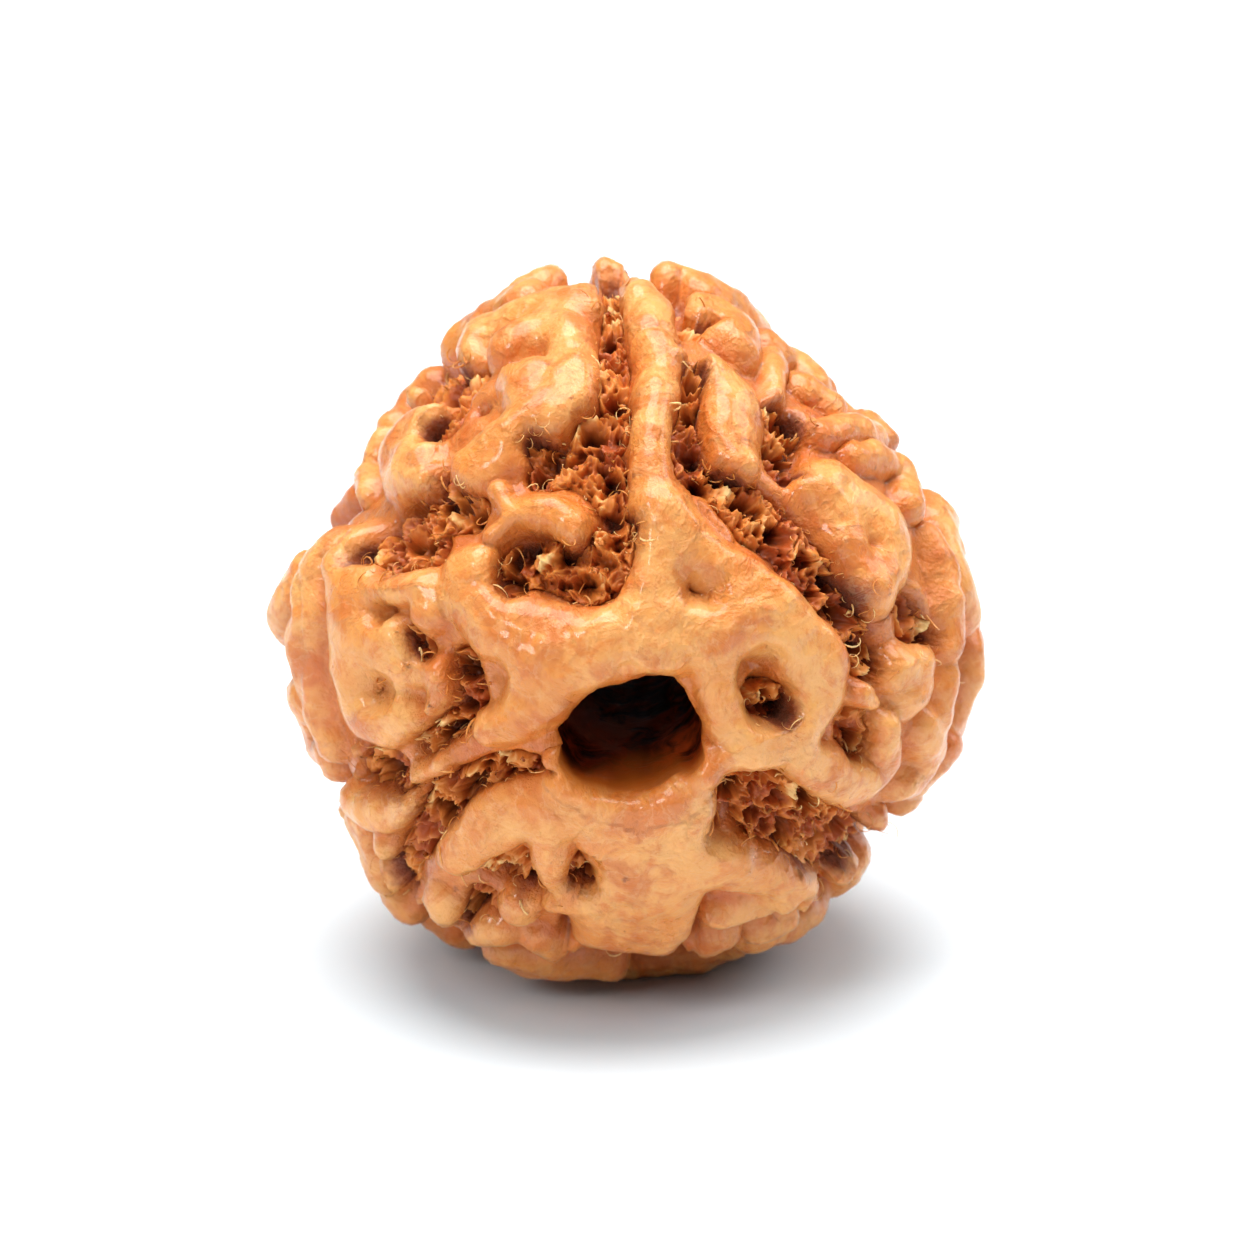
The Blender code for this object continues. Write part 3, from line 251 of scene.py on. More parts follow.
# Creases between ridges that touch: strength, then (x, y, half width) along each one
frontCreases = [
    (1.00, [(1.62, 10.60, 0.18), (1.66, 9.90, 0.22), (1.62, 9.20, 0.20)]),
    (0.55, [(0.10, 8.75, 0.12), (0.80, 8.80, 0.12), (1.50, 8.65, 0.12)]),
    (0.50, [(0.15, 10.60, 0.12), (0.60, 10.40, 0.14), (0.95, 10.75, 0.12)]),
    (0.50, [(-1.20, 10.02, 0.16), (-2.20, 10.00, 0.16), (-3.20, 9.85, 0.16), (-4.10, 9.45, 0.16)]),
    (0.60, [(-9.75, 2.60, 0.16), (-9.85, 1.00, 0.16), (-9.90, -0.80, 0.16), (-9.80, -2.60, 0.16)]),
    (0.60, [(2.20, -8.80, 0.16), (3.20, -8.85, 0.16), (4.40, -8.80, 0.16), (5.20, -8.90, 0.14)]),
    (0.90, [(-1.95, -8.90, 0.18), (-2.00, -9.60, 0.20), (-1.95, -10.40, 0.20)]),
    (0.70, [(2.20, -9.00, 0.20), (2.10, -9.80, 0.20), (2.05, -10.40, 0.20)]),
]

# Ridges under the bead, in plan, that carry it
restRidges = [
    (1.02, [(-3.2, -1.6, 0.9), (-1.0, -2.0, 1.15), (1.4, -1.8, 1.15), (3.2, -2.2, 0.8)]),
    (1.02, [(-2.8, 2.6, 0.8), (-0.8, 2.1, 1.15), (1.6, 2.3, 1.15), (3.4, 1.6, 0.8)]),
    (1.00, [(-0.6, -1.9, 1.0), (-0.2, 0.2, 0.95), (0.2, 2.1, 1.0)]),
]

# The three seams on the far side, by clock angle, and the collar round the far mouth
seams = {"clocks": (92.0, 214.0, 327.0), "startAt": (101.0, 84.0, 84.0), "endAt": 152.0,
         "sway": 3.0, "lift": 0.98, "halfWidth": 0.52, "pitGap": 0.42, "pitWidths": (0.40, 0.30),
         "pitLengths": (5, 16), "pitRests": (1.5, 5), "pitSeed": 17}
collar = {"angle": 163.0, "sway": 1.5, "halfWidth": 0.95, "opening": 13.0, "spurLift": 0.96,
          "spurWidths": (0.85, 0.62), "spurs": ((0.22, 143.0), (0.55, 138.0), (0.85, 145.0))}

# Ridges grown where the front tables don't reach
worms = {"seed": 41, "starts": 1400, "step": 0.40, "gap": 0.26, "halfWidths": (0.74, 1.12),
         "lifts": (0.88, 1.04), "bend": 0.35, "wander": 0.12, "longest": 20, "frontZone": 0.21}


# Where a thing sits on the bead
def viewAxes():
    tilt = math.radians(shot["tilt"])
    toward = np.array([0.0, -math.cos(tilt), math.sin(tilt)])
    up = np.array([0.0, math.sin(tilt), math.cos(tilt)])
    return np.array([1.0, 0.0, 0.0]), up, toward


def unit(rows):
    return rows / np.linalg.norm(rows, axis=-1, keepdims=True)


def fromBelow(x, y):
    return unit(np.array([x, y, -math.sqrt(body["radius"] ** 2 - x * x - y * y)]))


def fromClock(clock, polar):
    # clock angle about the bore, 0 at +X and 90 at +Z; polar angle from the front mouth
    c, p = math.radians(clock), math.radians(polar)
    return np.array([math.cos(c) * math.sin(p), -math.cos(p), math.sin(c) * math.sin(p)])


def bodyRadius(d):
    # an egg along the bore, swollen and flattened round the outline that the front view shows
    length = np.where(d[:, 1] < 0, body["frontLength"], body["backLength"])
    side = np.sqrt(np.clip(1 - d[:, 1] ** 2, 0, 1))
    egg = 1 / np.sqrt((side / body["radius"]) ** 2 + (d[:, 1] / length) ** 2)
    right, up, toward = viewAxes()
    turn = np.degrees(np.arctan2(d @ up, d @ right))
    angles, swell = np.array(body["outline"]).T
    near = np.interp(turn, angles, swell, period=360)
    for step in (-body["outlineBlend"], body["outlineBlend"]):
        near = near + 0.5 * np.interp(turn + step, angles, swell, period=360)
    return egg + near / 2 * (1 - (d @ toward) ** 2) ** 1.5


def fromFront(x, y, sunk=0.0):
    # direction of the point of the body seen at x, y; what is nearer looks larger
    right, up, toward = viewAxes()
    d, nearness = toward, 1.0
    for _ in range(8):
        radius = float(bodyRadius(d[None])[0]) - sunk
        reach = min(math.hypot(x, y) * nearness, radius * 0.995)
        depth = math.sqrt(radius ** 2 - reach ** 2)
        nearness = 1.0 - depth / shot["distance"]
        share = reach / max(math.hypot(x, y), 1e-9)
        d = unit(x * share * right + y * share * up + depth * toward)
    return d


# The ridges: those listed, the seams and the far collar, and grown ones elsewhere
def smoothed(points, steps=4):
    # Catmull-Rom curve through rows of numbers
    p = [np.array(row, float) for row in [points[0]] + list(points) + [points[-1]]]
    out = []
    for i in range(1, len(p) - 2):
        for k in range(steps):
            t = k / steps
            out.append(0.5 * (2 * p[i] + (p[i + 1] - p[i - 1]) * t
                              + (2 * p[i - 1] - 5 * p[i] + 4 * p[i + 1] - p[i + 2]) * t ** 2
                              + (3 * p[i] - p[i - 1] - 3 * p[i + 1] + p[i + 2]) * t ** 3))
    out.append(p[-2])
    return out


def strokeOnBody(lift, path, place, *sunk):
    rows = smoothed(path)
    return lift, np.array([place(r[0], r[1], *sunk) for r in rows]), np.array([r[2] for r in rows])


def seamSway(past):
    # degrees that a far seam strays to the side, so many degrees past its start
    return seams["sway"] * math.sin(math.radians(5 * past))


def seamRidges():
    ridges = []
    for clock, start in zip(seams["clocks"], seams["startAt"]):
        polars = np.linspace(start, seams["endAt"], 13)
        line = [fromClock(clock + seamSway(p - start), p) for p in polars]
        ridges.append((seams["lift"], np.array(line), np.full(len(polars), seams["halfWidth"])))
    return ridges


def seamPits():
    # broken rows of fibrous pits along both sides of each far seam
    draw = random.Random(seams["pitSeed"])
    pits = []
    for clock, start in zip(seams["clocks"], seams["startAt"]):
        for side in (-1, 1):
            polar = start + 3.0
            while polar < seams["endAt"] - 6:
                length = draw.uniform(*seams["pitLengths"])
                middle = clock + seamSway(polar - start)
                offset = side * (seams["halfWidth"] + seams["pitGap"]) / body["radius"]
                polars = np.linspace(polar, min(polar + length, seams["endAt"]), 4)
                line = [fromClock(middle + math.degrees(offset / math.sin(math.radians(p))), p)
                        for p in polars]
                pits.append((1.0, np.array(line), np.linspace(*seams["pitWidths"], 4)))
                polar += length + draw.uniform(*seams["pitRests"])
    return pits


def farCollar():
    ridges = []
    starts = seams["clocks"]
    for start, end in zip(starts, list(starts[1:]) + [starts[0] + 360]):
        clocks = np.linspace(start + collar["opening"], end - collar["opening"], 12)
        line = [fromClock(c, collar["angle"] + collar["sway"] * math.sin(math.radians(4 * c)))
                for c in clocks]
        ridges.append((1.0, np.array(line), np.full(len(line), collar["halfWidth"])))
        for share, reach in collar["spurs"]:
            clock = start + share * (end - start)
            line = [fromClock(clock + 0.3 * (p - 150), p) for p in np.linspace(160, reach, 6)]
            ridges.append((collar["spurLift"], np.array(line), np.linspace(*collar["spurWidths"], len(line))))
    return ridges


def clearance(point, points, widths):
    return float((np.linalg.norm(points - point, axis=1) - widths).min())


def grownRidges(ridges):
    # starts on a golden spiral; each grows both ways until it nears another ridge
    draw = random.Random(worms["seed"])
    radius = body["radius"]
    toward = viewAxes()[2]
    bores = np.array([fromClock(0, 0), fromClock(0, 180)]) * radius
    points = np.concatenate([r[1] for r in ridges] + [bores / radius]) * radius
    widths = np.concatenate([r[2] for r in ridges] + [np.full(2, bore["keepClear"])])
    order = list(range(worms["starts"]))
    draw.shuffle(order)
    grown = []
    for i in order:
        height = 1 - 2 * (i + 0.5) / worms["starts"]
        turn = i * math.pi * (3 - math.sqrt(5))
        ring = math.sqrt(1 - height * height)
        seed = np.array([ring * math.cos(turn), height, ring * math.sin(turn)])
        half = draw.uniform(*worms["halfWidths"])
        heading = draw.uniform(0, 2 * math.pi)
        bend = draw.uniform(-worms["bend"], worms["bend"])
        longest = draw.randint(3, worms["longest"])
        room = worms["gap"] + half
        if seed @ toward > worms["frontZone"] or clearance(seed * radius, points, widths) < room:
            continue
        side = unit(np.cross(seed, [0.3, 1.0, 0.2]))
        ahead = math.cos(heading) * side + math.sin(heading) * np.cross(seed, side)
        arms = []
        for sign in (1.0, -1.0):
            here, way, curl, arm = seed, ahead * sign, bend * sign, []
            for _ in range(longest):
                curl += draw.uniform(-worms["wander"], worms["wander"])
                way = way * math.cos(curl) + np.cross(here, way) * math.sin(curl)
                here = unit(here + way * worms["step"] / radius)
                way = unit(way - (way @ here) * here)
                if here @ toward > worms["frontZone"]:
                    break
                if clearance(here * radius, points, widths) < room:
                    break
                arm.append(here)
            arms.append(arm)
        line = np.array(arms[1][::-1] + [seed] + arms[0])
        swell = half * (1 + 0.12 * np.sin(np.arange(len(line)) * 1.3 + heading))
        grown.append((draw.uniform(*worms["lifts"]), line, swell))
        points = np.concatenate([points, line * radius])
        widths = np.concatenate([widths, swell])
    return grown


def allRidges():
    ridges = [strokeOnBody(lift, path, fromFront, body["ridgeSunk"]) for lift, path in frontRidges]
    ridges += [strokeOnBody(lift, path, fromBelow) for lift, path in restRidges]
    ridges += seamRidges() + farCollar()
    return ridges + grownRidges(ridges)


# Noise for what grew unevenly
def latticeHash(cell, seed):
    h = cell[..., 0] * 73856093 ^ cell[..., 1] * 19349663 ^ cell[..., 2] * 83492791 ^ seed * 9176
    h = (h ^ (h >> 13)) * 1274126177 & 0x7FFFFFFF
    return h ^ (h >> 11)


def softNoise(points, seed):
    # gradient noise, about -1 to 1, one lump for each unit
    angles = np.arange(64) * 2.399963
    heights = 1 - (np.arange(64) + 0.5) / 32
    rings = np.sqrt(1 - heights ** 2)
    slopes = np.stack([rings * np.cos(angles), rings * np.sin(angles), heights], 1)
    cell = np.floor(points).astype(np.int64)
    part = points - cell
    fade = part ** 3 * (part * (part * 6 - 15) + 10)
    total = np.zeros(len(points))
    for corner in np.ndindex(2, 2, 2):
        slope = slopes[latticeHash(cell + corner, seed) & 63]
        weight = np.prod(np.where(corner, fade, 1 - fade), axis=1)
        total += weight * ((part - corner) * slope).sum(1)
    return total * 1.5


def layeredNoise(points, seed, layers=3):
    total, size = 0, 1.0
    for k in range(layers):
        total = total + softNoise(points / size, seed + k) * size
        size *= 0.5
    return total


# The surface along unit directions: radius, and how far up a ridge each point is
def strokeDistance(points, line, widths, reach):
    # for the points near a stroke: which, distance over half width, and place along it
    line = line * body["radius"]
    middle = (line.min(0) + line.max(0)) / 2
    span = np.linalg.norm(line - middle, axis=1).max() + widths.max() * 2 + reach
    near = np.nonzero(((points - middle) ** 2).sum(1) < span * span)[0]
    p = points[near]
    share = np.full(len(near), 9.0)
    place = np.zeros(len(near))
    run = 0.0
    for a, b, wa, wb in zip(line[:-1], line[1:], widths[:-1], widths[1:]):
        ab = b - a
        t = np.clip((p - a) @ ab / max(ab @ ab, 1e-9), 0, 1)
        now = np.linalg.norm(p - a - t[:, None] * ab, axis=1) / (wa + t * (wb - wa))
        closer = now < share
        place = np.where(closer, run + t * np.linalg.norm(ab), place)
        share = np.where(closer, now, share)
        run += np.linalg.norm(ab)
    return near, share, place


def faded(share, fall):
    rate, power = fall
    return np.exp(-rate * share ** power)


def relief(d, ridges, pits, creases):
    points = d * body["radius"]
    count = len(d)
    field = np.zeros(count)
    nearest = np.full(count, 9.0)
    along = np.zeros(count)
    for number, (lift, line, widths) in enumerate(ridges):
        near, share, place = strokeDistance(points, line, widths, 1.0)
        field[near] += lift * faded(share, body["ridgeFall"])
        along[near] = np.where(share < nearest[near], place + 3.0 * number, along[near])
        nearest[near] = np.minimum(nearest[near], share)
    pit = np.zeros(count)
    for depth, line, widths in pits:
        near, share, _ = strokeDistance(points, line, widths, 1.0)
        pit[near] = np.maximum(pit[near], depth * faded(share, body["pitFall"]))
    crease = np.zeros(count)
    for depth, line, widths in creases:
        near, share, _ = strokeDistance(points, line, widths, 0.6)
        crease[near] = np.maximum(crease[near], depth * np.exp(-share ** 2))
    toward = d @ viewAxes()[2]
    front = np.clip((toward - body["frontFrom"]) / body["frontReach"], 0, 1)
    joined = np.clip((toward - body["webFrom"]) / body["webReach"], 0, 1)
    patchy = softNoise(points / body["webPatch"], 61) * body["webSpread"]
    web = body["web"] * joined + (1 - joined) * (body["webFar"] + patchy)
    field = np.power(field ** 3 + np.clip(web, 0, 1) ** 3, 1 / 3)
    field = field * (1 - pit) * (1 - crease * body["creaseCut"])
    rise = np.interp(field, body["fieldSteps"], body["riseSteps"])
    deep = np.clip(1 - field / 0.15, 0, 1)
    radius = bodyRadius(d) - body["ridgeHeight"] * (1 - rise) - body["gapDepth"] * deep
    hollow = np.zeros(count)
    for depth, x, y, size in frontDimples:
        spot = fromFront(x, y, body["hollowSunk"]) * body["radius"]
        away = np.linalg.norm(points - spot, axis=1) / size
        bowl = np.clip(1 - away ** 2.2, 0, 1)
        radius -= depth * bowl * (1.6 - 0.6 * bowl)
        hollow = np.maximum(hollow, bowl * min(depth / 0.8, 1.0))
    eased = np.clip((pit - 0.25) / 0.50, 0, 1)
    far = np.clip(1 - rise / 0.28, 0, 1)
    low = front * eased * eased * (3 - 2 * eased) + (1 - front) * far
    nearEdge = np.clip(1 - np.abs(pit - 0.35) / 0.35, 0, 1)
    farEdge = np.clip(1 - np.abs(far - 0.3) / 0.3, 0, 1)
    edge = front * nearEdge + (1 - front) * farEdge
    return radius, {"rise": rise, "hollow": hollow, "along": along, "low": low, "edge": edge}


def mouthRadius(turn):
    # the bore's rounded, five-cornered outline as a radius about its centre
    outline = np.array(bore["outline"])
    angles = np.arctan2(outline[:, 1], outline[:, 0])
    order = np.argsort(angles)
    angles, radii = angles[order], np.hypot(outline[order, 0], outline[order, 1])
    fine = np.linspace(-math.pi, math.pi, 721)[:-1]
    r = np.interp(fine, np.concatenate([angles - 2 * math.pi, angles, angles + 2 * math.pi]),
                  np.tile(radii, 3))
    kernel = np.hanning(33)
    r = np.convolve(np.tile(r, 3), kernel / kernel.sum(), "same")[720:1440]
    return np.interp(np.mod(turn + math.pi, 2 * math.pi), fine + math.pi, r, period=2 * math.pi)


def rowPlaces():
    # how far along from rim to rim each ring lies, closer together at the rims
    arc = math.pi * body["radius"] - 2 * bore["meanReach"]
    steps, here = [0.0], 0.0
    while here < arc / 2:
        ease = min(here / skinMesh["coarseFrom"], 1.0)
        here += skinMesh["finest"] + (skinMesh["coarsest"] - skinMesh["finest"]) * ease
        steps.append(here)
    half = np.array(steps) / steps[-1] / 2
    return np.concatenate([half, 1 - half[-2::-1]]), arc


def skinPoints(strokes):
    # rings from the front rim over the outside to the back rim, then through the bore
    turn = np.linspace(0, 2 * math.pi, skinMesh["around"], endpoint=False)
    rho = mouthRadius(turn)
    centre = np.array(bore["centre"])
    rimX, rimZ = centre[0] + rho * np.cos(turn), centre[1] + rho * np.sin(turn)
    rimClock, rimReach = np.unwrap(np.arctan2(rimZ, rimX)), np.hypot(rimX, rimZ)
    rimPolar = np.arcsin(rimReach / (body["frontLength"] - bore["rimDepth"]))
    rimPolarBack = np.arcsin(rimReach / (body["backLength"] - bore["rimDepth"]))
    places, arc = rowPlaces()
    polar = rimPolar + places[:, None] * (math.pi - rimPolarBack - rimPolar)
    clock = np.broadcast_to(rimClock, polar.shape)
    d = np.stack([np.cos(clock) * np.sin(polar), -np.cos(polar), np.sin(clock) * np.sin(polar)], -1)
    d = d.reshape(-1, 3)
    radius, facts = relief(d, *strokes)
    fromRim = (np.minimum(places, 1 - places) * arc)[:, None] + np.zeros_like(polar)
    inLip = np.clip(1 - fromRim.reshape(-1) / bore["lip"], 0, 1)
    radius -= bore["lip"] * (1 - np.sqrt(1 - inLip ** 2))
    outer = d * radius[:, None]
    grid = outer.reshape(len(places), -1, 3)
    front, back = grid[0], grid[-1]
    wall = []
    for k in range(1, bore["wallRows"] + 1):
        share = k / (bore["wallRows"] + 1)
        here = back + (front - back) * share
        narrow = 1 - (1 - bore["waist"]) * math.sin(math.pi * share) ** 1.2
        axis = np.array([centre[0], 0, centre[1]])
        radial = here * [1, 0, 1] - axis
        wall.append(axis + radial * narrow + here * [0, 1, 0])
    wall = np.array(wall).reshape(-1, 3)
    rough = layeredNoise(wall * [0.9, 0.35, 0.9] + 40, 11)
    toAxis = unit(wall * [1, 0, 1] - [centre[0], 0, centre[1]])
    wall -= toAxis * (bore["wallRough"] * rough)[:, None]
    rows = len(places) + bore["wallRows"]
    filler = np.zeros(len(wall))
    inside = np.minimum(np.linalg.norm(wall.reshape(-1, len(turn), 3) - front, axis=2),
                        np.linalg.norm(wall.reshape(-1, len(turn), 3) - back, axis=2)).reshape(-1)
    clear = np.clip((fromRim.reshape(-1) - 0.35) / 0.6, 0, 1)
    facts["low"] *= clear
    facts["edge"] *= clear
    facts["bore"] = np.clip(inLip * 2.2 - 1.6, 0, 1)
    facts["inside"] = facts["bore"] * 0
    inside *= np.tile(1.5 + 1.2 * np.sin(turn), bore["wallRows"])   # painted light: the paler rim colour reaches further in at the lower edge
    attributes = {key: np.concatenate([values, filler]) for key, values in facts.items()}
    attributes["rise"][len(outer):] = 0.8
    attributes["bore"][len(outer):] = 1
    attributes["inside"][len(outer):] = inside
    return np.concatenate([outer, wall]), rows, attributes


def ringFaces(rows, around):
    # quads of a closed ring of rings
    row, column = np.meshgrid(np.arange(rows), np.arange(around), indexing="ij")
    nextRow, nextColumn = (row + 1) % rows, (column + 1) % around
    quads = np.stack([row * around + column, row * around + nextColumn,
                      nextRow * around + nextColumn, nextRow * around + column], -1)
    return quads.reshape(-1, 4)


def pointNormals(points, faces):
    a, b, c, e = (points[faces[:, k]] for k in range(4))
    normal = np.cross(c - a, e - b)
    total = np.zeros_like(points)
    for k in range(4):
        for axis in range(3):
            total[:, axis] += np.bincount(faces[:, k], normal[:, axis], len(points))
    return unit(total)


def meshFrom(name, points, faces, attributes, material):
    mesh = bpy.data.meshes.new(name)
    sides = faces.shape[1]
    mesh.vertices.add(len(points))
    mesh.vertices.foreach_set("co", (points * mm).astype(np.float32).ravel())
    mesh.loops.add(faces.size)
    mesh.loops.foreach_set("vertex_index", faces.astype(np.int32).ravel())
    mesh.polygons.add(len(faces))
    mesh.polygons.foreach_set("loop_start", np.arange(0, faces.size, sides, dtype=np.int32))
    mesh.update(calc_edges=True)
    for key, values in attributes.items():
        layer = mesh.attributes.new(key, "FLOAT", "POINT")
        layer.data.foreach_set("value", values.astype(np.float32))
    mesh.shade_smooth()
    mesh.materials.append(material)
    piece = bpy.data.objects.new(name, mesh)
    bpy.context.scene.collection.objects.link(piece)
    return piece


def makeSkin(material):
    ridges = allRidges()
    print("ridges:", len(ridges))
    pits = [strokeOnBody(depth, path, fromFront, body["pitSunk"]) for depth, path in frontPits]
    pits += seamPits()
    creases = [strokeOnBody(depth, path, fromFront, body["hollowSunk"]) for depth, path in frontCreases]
    points, rows, attributes = skinPoints((ridges, pits, creases))
    faces = ringFaces(rows, skinMesh["around"])
    outside = attributes["bore"] < 0.5
    normals = pointNormals(points, faces)
    if (normals[outside] * unit(points[outside])).sum() < 0:
        faces = faces[:, ::-1]
        normals = -normals
    # shoulders of the ridges lean out over the hollows
    height, reach = body["shoulder"]
    shoulder = np.clip(1 - ((attributes["rise"] - height) / reach) ** 2, 0, 1) * outside
    points = points + normals * (body["overhang"] * shoulder)[:, None]
    lumps = sum(layeredNoise(points / size, seed) * swing for size, swing, seed in body["lumps"])
    low = attributes["low"]
    points = points + normals * (lumps * outside)[:, None]
    directions = unit(points)
    points = points + body["middle"]
    points[:, 2] = np.maximum(points[:, 2], 0)
    attributes["fibrous"] = np.clip(attributes["edge"] + attributes["hollow"] * 0.6, 0, 1)
    return meshFrom("beadSkin", points, faces, attributes, material), (directions, faces, low)


tissue = {
    "cuts": 3,               # each quad of the skin over a pit becomes this many squared
    "from": 0.04,            # how low the skin lies where the tissue starts
    "under": 1.05,           # mm from the crests down to the level that the torn pith fills
    "farUnder": 0.45,        # and further down on the far side
    "cell": 0.85,            # mm between the larger pores, and between the smaller ones
    "smallCell": 0.46,
    "pore": (0.20, 0.56),    # shares of a cell where a pore's floor ends and its rim begins
    "deep": 0.80,            # mm, the larger pores
    "smallDeep": 0.34,
    "clump": 0.34,           # mm up and down from clump to clump
    "shred": 0.24,
    "warp": (0.80, 0.30, 70),   # what bends the pores: mm from bend to bend, mm strayed, seed
    "curl": (0.25, 0.07, 80),
    "lean": (0.70, 1.00, 90),   # and what leans the shreds
    "hole": 0.85,            # mm, how deep the dark holes are
    "holeSize": 0.72,        # of the radii below
}

# Dark holes in the pith seen from the front: x, y, radius
pithHoles = [
    (-3.00, 2.40, 0.80), (-3.60, 1.20, 0.45), (-1.30, 1.15, 0.50), (-0.35, 2.40, 0.40), (-1.90, 2.20, 0.40),
    (-6.80, 3.40, 0.70), (-8.05, 1.90, 0.50), (-5.60, 3.60, 0.45), (-6.20, 2.30, 0.45), (-4.70, 3.30, 0.40),
    (-5.70, 7.30, 0.50), (-4.75, 6.85, 0.55), (-5.50, 6.00, 0.30), (-6.40, 7.20, 0.35),
    (-0.50, 10.00, 0.40), (-0.45, 8.90, 0.45), (-0.45, 7.80, 0.40), (-0.35, 6.80, 0.45), (-1.00, 5.90, 0.50),
    (-2.30, 5.00, 0.60), (-2.70, 4.45, 0.40), (-0.50, 4.30, 0.50), (-0.40, 3.20, 0.35),
    (1.90, 5.15, 0.65), (1.95, 6.40, 0.40), (2.00, 7.40, 0.35), (2.10, 8.80, 0.35), (2.20, 4.20, 0.40),
    (4.70, 6.00, 0.55), (4.75, 5.00, 0.60), (5.20, 5.50, 0.40), (3.60, 3.60, 0.50), (4.60, 2.70, 0.50),
    (5.50, 3.30, 0.45), (5.40, 1.90, 0.45), (6.20, 1.20, 0.45), (6.70, 0.10, 0.50), (7.20, -0.80, 0.60),
    (7.50, -1.40, 0.40), (8.50, 0.30, 0.55), (9.15, -0.55, 0.45), (4.25, -2.60, 0.45), (6.95, -3.60, 0.45),
    (-5.00, -1.45, 0.65), (-5.00, -2.60, 0.40), (-6.40, -0.60, 0.35), (-7.45, -4.65, 0.70),
    (-5.70, -3.50, 0.40), (-3.70, -4.45, 0.35), (-4.90, -4.95, 0.40), (-5.90, -5.80, 0.45),
    (-6.60, -7.10, 0.40), (-7.10, -7.30, 0.45), (-3.70, -7.70, 0.55), (-2.90, -8.00, 0.40),
    (-1.40, -7.70, 0.35), (-4.50, -8.80, 0.45),
    (3.20, -5.20, 0.55), (3.90, -6.00, 0.50), (4.60, -5.40, 0.45), (4.90, -6.50, 0.55), (5.60, -5.70, 0.50),
    (5.80, -6.80, 0.50), (6.70, -6.40, 0.50), (6.40, -7.30, 0.40), (7.30, -6.50, 0.40),
]


def nearestCentre(points, seed):
    # distance to the nearest of scattered centres, and that one's tone
    base = np.floor(points).astype(np.int64)
    first = np.full(len(points), 9.0)
    tone = np.zeros(len(points))
    for step in np.ndindex(3, 3, 3):
        cell = base + np.array(step) - 1
        spot = np.stack([(latticeHash(cell, seed + k) & 1023) / 1023 for k in range(3)], -1)
        far = np.linalg.norm(points - cell - spot, axis=1)
        nearer = far < first
        tone = np.where(nearer, (latticeHash(cell, seed + 9) & 255) / 255, tone)
        first = np.where(nearer, far, first)
    return first, tone


def strayed(points, size, amount, seed):
    return np.stack([softNoise(points / size, seed + k) for k in range(3)], 1) * amount


def makeTissue(name, base, keep, material):
    # torn, honeycombed pith that half fills the pits, finer than the skin's own quads
    directions, faces, low = base
    faces = faces[(low[faces].max(1) > tissue["from"]) & keep(directions[faces].mean(1))]
    cuts = tissue["cuts"]
    steps = np.linspace(0, 1, cuts + 1)
    u, v = (g.ravel() for g in np.meshgrid(steps, steps, indexing="ij"))
    weights = np.stack([(1 - u) * (1 - v), (1 - u) * v, u * v, u * (1 - v)], 1)
    count = (cuts + 1) ** 2
    square = []
    for i in range(cuts):
        for j in range(cuts):
            a = i * (cuts + 1) + j
            square.append((a, a + 1, a + cuts + 2, a + cuts + 1))
    quads = (np.array(square)[None] + (np.arange(len(faces)) * count)[:, None, None]).reshape(-1, 4)
    flat = np.einsum("kc,fcx->fkx", weights, directions[faces]).reshape(-1, 3)
    key = np.round(flat * 40000).astype(np.int64)
    _, firstAt, merged = np.unique(key, axis=0, return_index=True, return_inverse=True)
    quads = merged.reshape(-1)[quads]
    d = unit(flat[firstAt])
    depth = np.einsum("kc,fc->fk", weights, low[faces]).reshape(-1)[firstAt]
    place = d * body["radius"]
    warp = strayed(place, *tissue["warp"])
    curl = strayed(place, *tissue["curl"])
    large, tone = nearestCentre((place + warp + curl) / tissue["cell"], 5)
    small, _ = nearestCentre((place + warp * 0.6 + curl * 1.5) / tissue["smallCell"], 23)
    clump = softNoise(place / 1.2, 29)
    torn = np.clip(0.60 + 0.5 * clump + 0.6 * softNoise(place / 0.45, 31), 0.05, 1.2)
    shred = 1 - np.abs(softNoise(place / 0.24 + warp, 47)) * 2.4
    grown = np.clip((depth - tissue["from"]) / 0.35, 0, 1)
    floor, rim = tissue["pore"]
    large = np.clip((rim + 0.12 * (tone - 0.5) - large) / (rim - floor), 0, 1)
    small = np.clip((rim - small) / (rim - floor), 0, 1)
    height = tissue["clump"] * clump + tissue["shred"] * np.clip(shred, -0.5, 1) * (0.4 + 0.6 * torn)
    height -= tissue["deep"] * large ** 1.5 * (0.5 + 0.5 * tone)
    height -= tissue["smallDeep"] * small ** 1.5 * (1 - large)
    lean = strayed(place, *tissue["lean"])
    lean -= (lean * d).sum(1, keepdims=True) * d
    facing = np.clip(d @ viewAxes()[2] / 0.35, 0, 1)
    level = bodyRadius(d) - tissue["under"] - 0.35 * (1 - grown) - tissue["farUnder"] * (1 - facing)
    holes = np.zeros(len(d))
    for x, y, size in pithHoles:
        away = np.linalg.norm(d - fromFront(x, y, tissue["under"]), axis=1) * body["radius"]
        away /= size * tissue["holeSize"]
        holes = np.maximum(holes, np.clip(1.25 - away, 0, 1) ** 0.7)
    height -= holes * tissue["hole"]
    place = d * (level + height * (0.3 + 0.7 * grown))[:, None]
    place += lean * ((height + 0.3) * 0.6 * grown)[:, None]
    place += body["middle"]
    place[:, 2] = np.maximum(place[:, 2], 0.01)
    tip = np.clip((height + 0.75) / 1.15, 0, 1)
    shade = np.clip(0.5 + 0.5 * (tone - 0.5) + 0.9 * softNoise(place / 1.3, 55), 0, 1)
    print(name, "faces:", len(quads))
    loose = np.clip(tip * 2.4 - 1.2, 0, 1) * grown * (0.25 + 0.75 * facing)
    return meshFrom(name, place, quads, {"tip": tip, "shade": shade, "torn": loose}, material)


